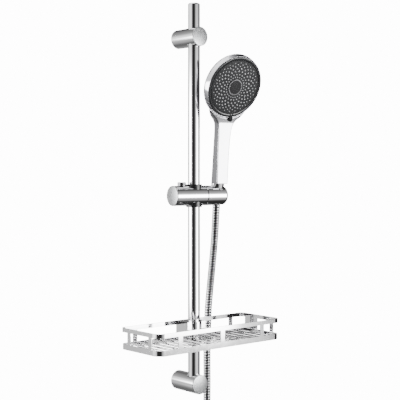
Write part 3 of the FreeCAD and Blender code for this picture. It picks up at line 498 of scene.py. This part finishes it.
def handle_ring(height):
    """The handle's section: sharp corners in front and round ones behind."""
    width, front, back = between(HANDLE_STATIONS, height)
    half = width / 2
    deep = front + back
    back_round = min(BACK_CORNER, BACK_CORNER_SHARE * deep, BACK_CORNER_SHARE * width)
    corners = [
        (half - FRONT_CORNER, -front + FRONT_CORNER, FRONT_CORNER, -90),
        (half - back_round, back - back_round, back_round, 0),
        (back_round - half, back - back_round, back_round, 90),
        (FRONT_CORNER - half, -front + FRONT_CORNER, FRONT_CORNER, 180),
    ]
    ring = []
    for cx, cy, r, start in corners:
        for step in range(CORNER_STEPS + 1):
            angle = math.radians(start + 90 * step / CORNER_STEPS)
            across = HOLE_FROM_RAIL + cx + r * math.cos(angle)
            ring.append(Vector((across, cy + r * math.sin(angle), height)))
    return ring


def head_back_outline():
    """The head's domed back and its straight side, which overlaps the rim."""
    over = HEAD_DEPTH - RIM_DEPTH
    outline = [(POLE, -HEAD_DEPTH)]
    for i in range(1, HEAD_BACK_STEPS + 1):
        angle = math.pi / 2 * i / HEAD_BACK_STEPS
        depth = RIM_DEPTH + over * math.cos(angle) ** HEAD_BACK_CURVE
        outline.append((HEAD_RADIUS * math.sin(angle), -depth))
    outline.append((HEAD_RADIUS, SKIN_ENDS + SIDE_OVERLAP))
    return outline


def handle_loft():
    """Handle and neck, from the foot to inside the head."""
    heights = [HANDLE_FOOT + HANDLE_LENGTH * i / HANDLE_STEPS for i in range(HANDLE_STEPS + 1)]
    rings = [[holder_turn @ p for p in handle_ring(h)] for h in heights]
    return rings_to_mesh(rings)


def handset_skin():
    points, faces = handle_loft()
    add_skin(points, faces, *turned(head_back_outline(), HEAD_BACK_AROUND, face_turn))
    skin = mesh_piece("handset_skin", points, faces)
    remesh = skin.modifiers.new("one skin", "REMESH")
    remesh.mode = "VOXEL"
    remesh.voxel_size = SKIN_CELL
    apply_modifiers(skin)
    soften_neck(skin)
    true_to_form(skin)
    clear_front(skin)
    for polygon in skin.data.polygons:
        polygon.use_smooth = True
    dress(skin, handset_chrome)
    return skin


def neck_share(height):
    """Nothing on the handle, one in the neck and the head."""
    return min(max((height - BLEND_STARTS) / (BLEND_FULL - BLEND_STARTS), 0.0), 1.0)


def soften_neck(skin):
    """Blends the neck into the head, and leaves the handle's edges nearly as they are."""
    to_holder = holder_turn.inverted()
    group = skin.vertex_groups.new(name="neck")
    for vertex in skin.data.vertices:
        share = neck_share((to_holder @ vertex.co).z)
        group.add([vertex.index], max(share, BLEND_LEAST), "REPLACE")
    smooth = skin.modifiers.new("smooth", "SMOOTH")
    smooth.factor = BLEND_STRENGTH
    smooth.iterations = BLEND_SMOOTHING
    smooth.vertex_group = "neck"
    apply_modifiers(skin)


def true_to_form(skin):
    """Lays the handle back on its own section, and the head's side on its circle, away from the neck."""
    form = mesh_piece("handle_form", *handle_loft())
    to_holder = holder_turn.inverted()
    to_face = face_turn.inverted()
    group = skin.vertex_groups.new(name="handle")
    for vertex in skin.data.vertices:
        share = neck_share((to_holder @ vertex.co).z)
        group.add([vertex.index], 1 - share, "REPLACE")
        at = to_face @ vertex.co
        radius = math.hypot(at.x, at.y)
        if -RIM_DEPTH < at.z and radius > HEAD_RADIUS - SIDE_REACH:
            below = math.degrees(math.atan2(at.x, -at.y))
            away = min(max((abs(below) - NECK_EDGE) / NECK_FADE, 0.0), 1.0)
            size = 1 + away * (HEAD_RADIUS / radius - 1)
            at.x *= size
            at.y *= size
            vertex.co = face_turn @ at
    wrap = skin.modifiers.new("wrap", "SHRINKWRAP")
    wrap.target = form
    wrap.wrap_method = "NEAREST_SURFACEPOINT"
    wrap.vertex_group = "handle"
    apply_modifiers(skin)
    bpy.data.objects.remove(form)


def clear_front(skin):
    """Ends the skin under the rim, where the face's recess begins."""
    to_face = face_turn.inverted()
    for vertex in skin.data.vertices:
        at = to_face @ vertex.co
        if at.z > SKIN_ENDS and math.hypot(at.x, at.y) < HEAD_RADIUS + SKIN_SLACK:
            at.z = SKIN_ENDS
            vertex.co = face_turn @ at


# The head's rim, and the dark ring with its lever that turns inside it

RIM_STARTS = -0.0090
RIM_INSET = 0.0003
RIM_FALL = 0.0020
RIM_CURVE = 1.3
SHOULDER_CURVE = 5.0
RIM_AROUND = 192
RIM_STEPS = 12
LIP_RADIUS = 0.0570
LIP_BREAK = 0.0002
LIP_CROWN = 0.0001
LIP_FALL = 0.0003

# Degrees round the face from the middle of the neck
FLARE_EDGE = 30
FLARE_FADE = 20

RING_INNER_RADIUS = 0.0495
RING_CLEARANCE = 0.0004
RING_SEAT_GAP = 0.0001
RING_PROUD = 0.0016
RING_GROOVE = -0.0005
RING_AROUND = 160
RING_BEVEL = 0.0012
RING_LIP = 0.0011

# The ring's outer edge, in shares of its bevel, and the edge of its lip: inwards or outwards, and back
RING_BEVEL_SHARES = [(0.0, 1.0), (0.25, 0.65), (0.4, 0.22), (0.75, 0.05), (1.2, 0.0)]
RING_LIP_EDGE = [(0.0011, 0.0), (0.0006, 0.0002), (0.0002, 0.0007)]

# The lever: distance from the face's axis and half width, then the size of its plan at each height
LEVER_ANGLE = -84.0
LEVER_PROUD = 0.0065
LEVER_HALF = 0.0040
LEVER_ROOT = (0.0500, 0.0030)
LEVER_WAIST = (0.0565, 0.0034)
LEVER_TIP_STEPS = 12
LEVER_BACK = 0.0006
LEVER_FRONT = 0.0028
LEVER_LAYERS = [
    (1.0, LEVER_BACK),
    (1.0, LEVER_BACK + 0.0012),
    (0.93, LEVER_BACK + 0.0018),
    (0.74, LEVER_FRONT),
]


def rim_side(angle, rise):
    """The side's radius at a share of its height: it flares back, and rounds over at the neck."""
    below = abs((math.degrees(angle) + 90 + 180) % 360 - 180)
    flare = min(max((below - FLARE_EDGE) / FLARE_FADE, 0.0), 1.0)
    return HEAD_RADIUS - RIM_FALL * (flare * rise ** RIM_CURVE + (1 - flare) * rise ** SHOULDER_CURVE)


def side_ring(height):
    rise = (height - RIM_STARTS) / (HEAD_RIM_FRONT - RIM_STARTS)
    radii = [rim_side(2 * math.pi * j / RIM_AROUND, rise) for j in range(RIM_AROUND)]
    return ring_at(radii, height, face_turn)


def round_ring(radius, height):
    return ring_at([radius] * RIM_AROUND, height, face_turn)


def head_rim():
    """The rim round the face's ring: back, side, lip, bore and seat."""
    rings = [round_ring(POLE, RIM_STARTS), round_ring(HEAD_RADIUS - RIM_INSET, RIM_STARTS)]
    for i in range(RIM_STEPS + 1):
        rings.append(side_ring(RIM_STARTS + (HEAD_RIM_FRONT - RIM_STARTS) * i / RIM_STEPS))
    rings += [
        round_ring(HEAD_RADIUS - RIM_FALL - LIP_BREAK, HEAD_RIM_FRONT + LIP_CROWN),
        round_ring(LIP_RADIUS, HEAD_RIM_FRONT),
        round_ring(LIP_RADIUS - LIP_BREAK, HEAD_RIM_FRONT - LIP_FALL),
        round_ring(LIP_RADIUS - LIP_BREAK, HEAD_SEAT),
        round_ring(POLE, HEAD_SEAT),
    ]
    rim = mesh_piece("head_rim", *rings_to_mesh(rings))
    dress(rim, handset_chrome)
    return rim


def dark_ring():
    """The ring that turns inside the rim, its broken outer edge, and its lip over the plate."""
    outer = LIP_RADIUS - RING_CLEARANCE
    lip = RING_INNER_RADIUS + RING_LIP
    back = HEAD_SEAT + RING_SEAT_GAP
    outline = [(RING_INNER_RADIUS, back), (outer, back)]
    for across, down in RING_BEVEL_SHARES:
        outline.append((outer - across * RING_BEVEL, RING_PROUD - down * RING_BEVEL))
    for across, down in RING_LIP_EDGE:
        outline.append((lip + across, RING_PROUD - down))
    outline += [(lip, FACE_PLATE_PROUD), (lip, RING_GROOVE), (RING_INNER_RADIUS, RING_GROOVE)]
    return turned(outline + outline[:1], RING_AROUND, face_turn, closed_ends=False)


def lever_plan():
    """The lever's plan: a waist at the ring and a round tip."""
    tip = HEAD_RADIUS + LEVER_PROUD - LEVER_HALF
    plan = [(x, -half) for x, half in (LEVER_ROOT, LEVER_WAIST)]
    for i in range(LEVER_TIP_STEPS + 1):
        angle = math.radians(-90 + 180 * i / LEVER_TIP_STEPS)
        plan.append((tip + LEVER_HALF * math.cos(angle), LEVER_HALF * math.sin(angle)))
    return plan + [LEVER_WAIST, LEVER_ROOT]


def lever():
    """The lever, its top drawn in over a rounded edge."""
    turn = face_turn @ Matrix.Rotation(math.radians(LEVER_ANGLE), 4, "Z")
    plan = lever_plan()
    middle = Vector((sum(x for x, y in plan) / len(plan), 0, 0))
    rings = []
    for size, height in LEVER_LAYERS:
        ring = []
        for x, y in plan:
            at = middle + (Vector((x, y, 0)) - middle) * size
            ring.append(turn @ (at + Vector((0, 0, height))))
        rings.append(ring)
    return rings_to_mesh(rings)


def ring_with_lever():
    points, faces = dark_ring()
    add_skin(points, faces, *lever())
    ring = mesh_piece("face_ring", points, faces)
    dress(ring, face_dark)
    return ring


handset = handset_skin()
rim = head_rim()
for piece in (handset, rim):
    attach(piece, "holder")
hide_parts("handset_body")
face_ring = ring_with_lever()
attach(face_ring, "selector")
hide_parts("selector_ring")


# Nozzles: seven rings of soft cones on the face

NOZZLE_RING_RADII = [0.0191, 0.0242, 0.0302, 0.0352, 0.0394, 0.0427, 0.0460]
NOZZLE_RING_SIZES = [0.0021, 0.0024, 0.0028, 0.0027, 0.0023, 0.0021, 0.0019]
NOZZLES_PER_RING = 24
NOZZLE_PROUD = 0.0011
NOZZLE_SIDES = 14


def nozzle_outline(size):
    """From the plate up: a small foot, a cone, a rounded lip and the hole down the middle."""
    r = size / 2
    return [
        (1.00 * r, 0.0),
        (0.96 * r, 0.45 * NOZZLE_PROUD),
        (0.90 * r, 0.85 * NOZZLE_PROUD),
        (0.80 * r, 1.00 * NOZZLE_PROUD),
        (0.30 * r, 1.00 * NOZZLE_PROUD),
        (0.24 * r, 0.90 * NOZZLE_PROUD),
        (0.22 * r, 0.35 * NOZZLE_PROUD),
    ]


def nozzle_field():
    """All nozzles in one piece, every second ring turned by half a step."""
    points = []
    faces = []
    step = 2 * math.pi / NOZZLES_PER_RING
    for ring, (radius, size) in enumerate(zip(NOZZLE_RING_RADII, NOZZLE_RING_SIZES)):
        for i in range(NOZZLES_PER_RING):
            angle = step * (i + 0.5 * (ring % 2))
            at = Vector((radius * math.cos(angle), radius * math.sin(angle), FACE_PLATE_PROUD))
            rings = []
            for r, h in nozzle_outline(size):
                circle = []
                for j in range(NOZZLE_SIDES):
                    turn = 2 * math.pi * j / NOZZLE_SIDES
                    circle.append(face_turn @ (at + Vector((r * math.cos(turn), r * math.sin(turn), h))))
                rings.append(circle)
            add_skin(points, faces, *rings_to_mesh(rings))
    return mesh_piece("nozzle_field", points, faces)


nozzles = nozzle_field()
dress(nozzles, nozzle_rubber)
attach(nozzles, "holder")
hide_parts("spray_nozzles")


# Hose: one smooth line from the cone nut to the coil, worn as a helically ribbed metal cover

def row_point(right, back, up):
    """A place given from the rail's axis and the lower bracket."""
    return Vector((right, RAIL_Y + back, LOWER_Z + up))


def free_route():
    """The hose's free route, the same points as the part's source."""
    corners = [holder_turn @ Vector((HOLE_FROM_RAIL, 0, u)) for u in (FERRULE_BOTTOM, -HOSE_LEAD_OUT)]
    corners.append(row_point(*SWIVEL_CORNER))
    return corners + [row_point(*p) for p in DROP_ROUTE]


def coil_route():
    """The put-away turns and the tail, from the lead's foot to the end nut."""
    # The spline weighs three points in a row by 1/8, 6/8 and 1/8, so it runs a little inside their circle
    reach = (6 + 2 * math.cos(2 * math.pi / COIL_POINTS)) / 8
    radius = COIL_RADIUS / reach
    points = []
    for i in range(1, COIL_POINTS * COIL_TURNS):
        turns = i / COIL_POINTS
        angle = -2 * math.pi * turns
        right = COIL_CENTRE[0] + radius * math.cos(angle)
        up = COIL_CENTRE[1] + radius * math.sin(angle)
        points.append(row_point(right, HOSE_BACK_FROM_RAIL - COIL_PITCH * turns, up))
    right = COIL_CENTRE[0] + COIL_RADIUS
    front = HOSE_BACK_FROM_RAIL - COIL_PITCH * COIL_TURNS
    points.append(row_point(right, front, COIL_CENTRE[1] + COIL_LEAD_END))
    points.append(row_point(right, front, COIL_CENTRE[1] - TAIL_LENGTH / 2))
    points.append(row_point(right, front, COIL_CENTRE[1] - TAIL_LENGTH))
    return points


def spline_points(name, controls, resolution):
    """Points read from the NURBS spline that has the route's points as its control points."""
    curve = bpy.data.curves.new(name, "CURVE")
    curve.dimensions = "3D"
    curve.resolution_u = resolution
    spline = curve.splines.new("NURBS")
    spline.points.add(len(controls) - 1)
    for point, at in zip(spline.points, controls):
        point.co = (*at, 1.0)
    spline.order_u = LINE_ORDER
    spline.use_endpoint_u = True
    carrier = bpy.data.objects.new(name, curve)
    bpy.context.scene.collection.objects.link(carrier)
    graph = bpy.context.evaluated_depsgraph_get()
    mesh = bpy.data.meshes.new_from_object(carrier.evaluated_get(graph))
    points = [v.co.copy() for v in mesh.vertices]
    bpy.data.objects.remove(carrier)
    bpy.data.meshes.remove(mesh)
    return points


def lengths_along(points):
    """The distance from the line's start to each of its points."""
    total = [0.0]
    for a, b in zip(points, points[1:]):
        total.append(total[-1] + (b - a).length)
    return total


def point_at(points, total, distance):
    """The point and direction at a distance along a line."""
    low, high = 0, len(total) - 2
    while low < high:
        middle = (low + high + 1) // 2
        if total[middle] <= distance:
            low = middle
        else:
            high = middle - 1
    a, b = points[low], points[low + 1]
    span = total[low + 1] - total[low]
    share = (distance - total[low]) / span
    before = points[max(low - 1, 0)]
    after = points[min(low + 2, len(points) - 1)]
    into = (b - before).normalized()
    out = (after - a).normalized()
    return a.lerp(b, share), into.lerp(out, share).normalized()


def rib_height(phase):
    """The cover's section along its length: a broad rounded land and a narrow groove."""
    phase = phase % 1.0
    if phase > HOSE_GROOVE:
        share = (phase - HOSE_GROOVE) / (1 - HOSE_GROOVE)
        return -LAND_FALL * HOSE_RIB_DEPTH * (1 - math.sin(math.pi * share))
    return -HOSE_RIB_DEPTH * (LAND_FALL + (1 - LAND_FALL) * math.sin(math.pi * phase / HOSE_GROOVE))


def ribbed_tube(name, points, total, start, end):
    """A tube along part of the line, its skin ribbed by one continuous helix, and the faces in its
    grooves darkened as painted shade.
    """
    steps = max(2, round((end - start) / HOSE_RIB_PITCH * RINGS_PER_RIB))
    side = frame_side(points, total, start)
    rings = []
    for i in range(steps + 1):
        distance = start + (end - start) * i / steps
        centre, along = point_at(points, total, distance)
        side = (side - along * side.dot(along)).normalized()
        other = along.cross(side)
        ring = []
        for j in range(POINTS_ROUND_HOSE):
            share = j / POINTS_ROUND_HOSE
            r = HOSE_RADIUS + rib_height(distance / HOSE_RIB_PITCH - share)
            angle = 2 * math.pi * share
            ring.append(centre + side * (r * math.cos(angle)) + other * (r * math.sin(angle)))
        rings.append(ring)
    mesh_points, faces = rings_to_mesh(rings)
    tube = mesh_piece(name, mesh_points, faces)
    tube.data.materials.append(hose_metal)
    tube.data.materials.append(hose_groove_painted_shade)
    # Faces inside a groove get the dark material: painted shade where the groove's own shadow falls.
    for i, polygon in enumerate(tube.data.polygons):
        distance = start + (end - start) * (i // POINTS_ROUND_HOSE + 0.5) / steps
        phase = (distance / HOSE_RIB_PITCH - (i % POINTS_ROUND_HOSE + 0.5) / POINTS_ROUND_HOSE) % 1.0
        polygon.material_index = 1 if phase < HOSE_GROOVE else 0
    return tube


def frame_side(points, total, distance):
    """The sideways direction carried along the line without twist from its start."""
    side = point_at(points, total, 0)[1].orthogonal().normalized()
    travelled = 0.0
    while travelled < distance:
        travelled = min(travelled + CARRY_STEP, distance)
        along = point_at(points, total, travelled)[1]
        side = (side - along * side.dot(along)).normalized()
    return side


def nearest_distance(points, total, target):
    """The distance along the line at its point nearest to a place."""
    best = min(range(len(points)), key=lambda i: (points[i] - target).length)
    return total[best]


corners = free_route()
coil_right, coil_up = COIL_CENTRE
coil_lead_foot = row_point(coil_right + COIL_RADIUS, HOSE_BACK_FROM_RAIL, coil_up + COIL_LEAD_END)
line = spline_points("hose_line", corners + [coil_lead_foot] + coil_route(), LINE_STEPS)
total = lengths_along(line)

TOP_LENGTH = 0.086
TURN_LENGTH = 0.088
top_end = TOP_LENGTH
turn_end = TOP_LENGTH + TURN_LENGTH
drop_end = nearest_distance(line, total, corners[-1])

hose_top = ribbed_tube("hose_top", line, total, 0.0, top_end)
hose_turn = ribbed_tube("hose_turn", line, total, top_end, turn_end)
hose_drop = ribbed_tube("hose_drop", line, total, turn_end, drop_end)
hose_coil = ribbed_tube("hose_turns", line, total, drop_end, total[-1])


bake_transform(hose_top)
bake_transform(hose_turn)
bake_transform(hose_drop)
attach(hose_coil, "wall_rail")
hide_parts("hose_exit_tube", "hose_tilt_tube")
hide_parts("hose_swivel_tube")
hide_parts("hose_drop_tube")
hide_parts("hose_coil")


# Studio: a pale floor, a white backdrop, a room that shows only in the chrome, and soft light

def stage_plane(name, centre, u, v, material):
    """A flat panel of the studio, given by its centre and two half sides."""
    u = Vector(u)
    v = Vector(v)
    c = Vector(centre)
    plane = mesh_piece(name, [c - u - v, c + u - v, c + u + v, c - u + v], [(0, 1, 2, 3)], smooth=False)
    plane.data.materials.append(material)
    return plane


def glow_material(name, color, strength):
    material = bpy.data.materials.new(name)
    material.use_nodes = True
    tree = material.node_tree
    tree.nodes.clear()
    out = tree.nodes.new("ShaderNodeOutputMaterial")
    glow = tree.nodes.new("ShaderNodeEmission")
    glow.inputs["Color"].default_value = (*color, 1.0)
    glow.inputs["Strength"].default_value = strength
    tree.links.new(glow.outputs["Emission"], out.inputs["Surface"])
    return material


def compass(degrees):
    """The direction at an angle to the right of the photograph's camera, seen from the object."""
    azimuth = math.radians(CAMERA_AZIMUTH + degrees)
    return Vector((math.sin(azimuth), -math.cos(azimuth), 0))


def only_reflected(panel):
    panel.visible_camera = False
    panel.visible_diffuse = False
    panel.visible_shadow = False
    panel.visible_transmission = False
    panel.visible_volume_scatter = False


FLOOR_Z = -1.35
FLOOR_HALF = 8.0
BACKDROP_AWAY = 3.4
BACKDROP_HALF_WIDTH = 2.4
BACKDROP_HALF_HEIGHT = 2.0
BACKDROP_GLOW = 14.0

floor_look = new_material("pale floor", (0.86, 0.86, 0.86), roughness=0.8)[0]
floor = stage_plane("floor", (0, 0, FLOOR_Z), (FLOOR_HALF, 0, 0), (0, FLOOR_HALF, 0), floor_look)
floor.visible_glossy = False

backdrop_look = glow_material("white backdrop", (1.0, 1.0, 1.0), BACKDROP_GLOW)
away = Vector(CAMERA_LOOKS)
sideways = away.cross(Vector((0, 0, 1))) * BACKDROP_HALF_WIDTH
upwards = (0, 0, BACKDROP_HALF_HEIGHT)
backdrop = stage_plane("backdrop", away * BACKDROP_AWAY, sideways, upwards, backdrop_look)
backdrop.visible_diffuse = False
backdrop.visible_glossy = False
backdrop.visible_shadow = False


# The studio that the chrome reflects: a round room whose brightness is given by direction, with a dark
# card behind the camera and a soft box on each side of it

ROOM_RADIUS = 2.0
ROOM_COLUMNS = 180
ROOM_ROWS = 240

# The soft boxes, in degrees: the limits across and up, with the width of each soft edge
BOX_TONE = 14.0
RIGHT_BOX_ACROSS = (50.0, 81.5, 8.0, 2.0)
RIGHT_BOX_UP = (-15.5, 11.0, 1.6, 8.0)
LEFT_BOX_ACROSS = (-98.0, -49.0, 6.0, 8.0)
LEFT_BOX_UP = (-14.0, 13.0, 5.0, 6.0)
LEFT_BOX_RISE = 7.0
LEFT_BOX_RISE_FROM = -86.0
LEFT_BOX_RISE_OVER = 6.0

# The room's rows, in degrees up, and its tones at these rows by degrees to the right of the camera
UPS = (-90, -55, -48, -30, -18, -8, 2, 10, 18, 28, 38, 47, 56, 66, 90)
OVERHEAD = (0.03,) * 12 + (1.00, 2.50, 3.00)
BEHIND = (0.05, 0.06, 0.08, 0.10, 0.10, 0.15, 0.20, 0.20, 0.15, 0.12, 0.12, 0.30, 2.00, 3.50, 3.00)
FRONT_RIGHT = (0.03, 0.03, 0.24, 0.55, 1.35, 1.50, 1.50, 1.50, 1.10, 0.47, 0.37, 0.17, 0.05, 0.30, 3.00)
ROOM_TONES = [
    (-180, BEHIND),
    (-174, (0.10, 0.15, 0.20, 0.30, 0.45, 0.50, 0.50, 0.40, 0.30, 0.20, 0.15, 0.12, 0.40, 3.00, 3.50)),
    (-160, (0.10, 0.15, 0.20, 0.26, 0.40, 0.60, 0.60, 0.40, 0.25, 0.15, 0.10, 0.08, 0.30, 3.00, 3.50)),
    (-145, (0.10, 0.15, 0.18, 0.20, 0.90, 1.00, 0.60, 0.50, 0.40, 0.30, 0.22, 0.20, 0.60, 3.00, 3.50)),
    (-131, (0.10, 0.15, 0.15, 0.16, 0.70, 0.80, 0.60, 0.60, 0.50, 0.40, 0.30, 0.26, 0.50, 3.00, 3.50)),
    (-119, (0.10, 0.15, 0.20, 0.26, 0.50, 0.65, 0.60, 0.60, 0.50, 0.45, 0.36, 0.36, 0.60, 3.00, 3.50)),
    (-110, (0.10, 0.15, 0.25, 0.40, 0.55, 0.60, 0.60, 0.60, 0.60, 0.60, 0.45, 0.50, 1.00, 3.50, 3.50)),
    (-103, (0.08, 0.12, 0.30, 0.60, 0.65, 0.80, 1.10, 1.60, 1.80, 1.10, 0.80, 1.20, 2.00, 3.50, 3.50)),
    (-98, (0.06, 0.10, 0.50, 1.30, 0.80, 1.20, 1.40, 1.80, 2.20, 1.60, 1.80, 2.40, 3.00, 3.50, 3.50)),
    (-85, (0.05, 0.06, 0.50, 1.80, 1.70, 1.50, 1.50, 1.50, 2.00, 2.20, 2.40, 3.00, 3.50, 3.50, 3.50)),
    (-60, (0.05, 0.06, 0.40, 1.50, 1.60, 1.50, 1.50, 1.50, 2.00, 2.20, 2.40, 3.00, 3.50, 3.50, 3.50)),
    (-39, (0.05, 0.05, 0.15, 0.35, 0.80, 1.00, 1.00, 1.00, 1.20, 1.60, 2.00, 2.50, 3.00, 3.00, 3.00)),
    (-28, OVERHEAD),
    (8, OVERHEAD),
    (18, (0.03, 0.03, 0.08, 0.12, 0.16, 0.16, 0.16, 0.16, 0.14, 0.12, 0.10, 0.06, 1.00, 2.50, 3.00)),
    (25, (0.03, 0.03, 0.15, 0.25, 0.45, 0.50, 0.50, 0.50, 0.45, 0.25, 0.20, 0.12, 0.60, 2.00, 3.00)),
    (46, FRONT_RIGHT),
    (84, FRONT_RIGHT),
    (92, (0.03, 0.03, 0.08, 0.12, 0.06, 0.06, 0.06, 0.08, 0.20, 0.50, 0.40, 0.15, 0.05, 0.30, 3.00)),
    (98, (0.03, 0.03, 0.04, 0.05, 0.03, 0.04, 0.05, 0.06, 0.10, 0.50, 0.30, 0.10, 0.05, 0.30, 3.00)),
    (130, (0.03, 0.03, 0.03, 0.03, 0.03, 0.03, 0.04, 0.05, 0.08, 0.20, 0.10, 0.06, 0.05, 0.30, 3.00)),
    (164, (0.05, 0.06, 0.08, 0.10, 0.05, 0.05, 0.06, 0.06, 0.06, 0.07, 0.07, 0.06, 0.05, 0.50, 3.00)),
    (170, BEHIND),
    (180, BEHIND),
]


def share_between(stops, value):
    """The stop below a value, and how far on it is to the next."""
    for i in range(len(stops) - 1):
        if value <= stops[i + 1]:
            return i, (value - stops[i]) / (stops[i + 1] - stops[i])
    return len(stops) - 2, 1.0


def within(value, low, high, edge_low, edge_high):
    """One between two limits, falling to nothing over soft edges."""
    inside = min((value - low) / edge_low, (high - value) / edge_high)
    return min(max(inside + 0.5, 0.0), 1.0)


def right_box(right, up):
    return within(right, *RIGHT_BOX_ACROSS) * within(up, *RIGHT_BOX_UP)


def left_box(right, up):
    """The left box, whose lower edge rises towards its far end."""
    low, high, edge_low, edge_high = LEFT_BOX_UP
    rise = LEFT_BOX_RISE * min(max((LEFT_BOX_RISE_FROM - right) / LEFT_BOX_RISE_OVER, 0.0), 1.0)
    return within(right, *LEFT_BOX_ACROSS) * within(up, low + rise, high, edge_low, edge_high)


def room_tone(right, up):
    """Brightness by direction: the room's own, blended in steps of equal ratio, and the boxes'."""
    i, across = share_between([turn for turn, tones in ROOM_TONES], right)
    j, rise = share_between(UPS, up)
    left_tones, right_tones = ROOM_TONES[i][1], ROOM_TONES[i + 1][1]
    low = math.log(left_tones[j]) * (1 - across) + math.log(right_tones[j]) * across
    high = math.log(left_tones[j + 1]) * (1 - across) + math.log(right_tones[j + 1]) * across
    box = max(right_box(right, up), left_box(right, up))
    return math.exp(low * (1 - rise) + high * rise) + BOX_TONE * box ** 2


def room():
    """A round room that glows by direction, seen only in reflections."""
    points = []
    tones = []
    for row in range(ROOM_ROWS + 1):
        up = -90 + 180 * row / ROOM_ROWS
        for column in range(ROOM_COLUMNS):
            right = -180 + 360 * column / ROOM_COLUMNS
            flat = compass(right) * math.cos(math.radians(up))
            points.append((flat + Vector((0, 0, math.sin(math.radians(up))))) * ROOM_RADIUS)
            tones.append(room_tone(right, up))
    faces = []
    for row in range(ROOM_ROWS):
        for column in range(ROOM_COLUMNS):
            a = row * ROOM_COLUMNS + column
            b = row * ROOM_COLUMNS + (column + 1) % ROOM_COLUMNS
            faces.append((a, b, b + ROOM_COLUMNS, a + ROOM_COLUMNS))
    mesh = bpy.data.meshes.new("room")
    mesh.from_pydata(points, [], faces)
    layer = mesh.attributes.new("tone", "FLOAT", "POINT")
    layer.data.foreach_set("value", tones)
    walls = link("room", mesh)
    look = glow_material("room glow", (1.0, 1.0, 1.0), 1.0)
    tree = look.node_tree
    tone = tree.nodes.new("ShaderNodeAttribute")
    tone.attribute_name = "tone"
    tree.links.new(tone.outputs["Fac"], tree.nodes["Emission"].inputs["Strength"])
    look.cycles.emission_sampling = "NONE"
    mesh.materials.append(look)
    only_reflected(walls)


room()


# The soft light that falls on the part: the pale surround, and one large lamp in front on the right

WORLD_GLOW = 0.9
KEY_SIZE = 1.6
KEY_POWER = 18.0
KEY_RIGHT = 60
KEY_DISTANCE = 2.4
KEY_UP = 1.6

world = bpy.data.worlds.new("studio")
bpy.context.scene.world = world
world.use_nodes = True
surround = world.node_tree.nodes["Background"]
surround.inputs["Color"].default_value = (1.0, 1.0, 1.0, 1.0)
surround.inputs["Strength"].default_value = WORLD_GLOW

key = bpy.data.lights.new("key", "AREA")
key.shape = "RECTANGLE"
key.size = KEY_SIZE
key.size_y = KEY_SIZE
key.energy = KEY_POWER
key_carrier = bpy.data.objects.new("key", key)
key_carrier.location = compass(KEY_RIGHT) * KEY_DISTANCE + Vector((0, 0, KEY_UP))
key_carrier.rotation_euler = (-key_carrier.location).to_track_quat("-Z", "Y").to_euler()
key_carrier.visible_glossy = False
bpy.context.scene.collection.objects.link(key_carrier)


# Camera

camera = bpy.data.cameras.new("photo camera")
camera.lens = CAMERA_LENS
camera.sensor_width = CAMERA_SENSOR
camera.sensor_fit = "HORIZONTAL"
camera.shift_y = CAMERA_SHIFT_Y
camera.clip_start, camera.clip_end = CAMERA_CLIP
camera.dof.use_dof = False
carrier = bpy.data.objects.new("photo camera", camera)
carrier.location = CAMERA_AT
carrier.rotation_euler = Vector(CAMERA_LOOKS).to_track_quat("-Z", "Y").to_euler()
bpy.context.scene.collection.objects.link(carrier)
bpy.context.scene.camera = carrier
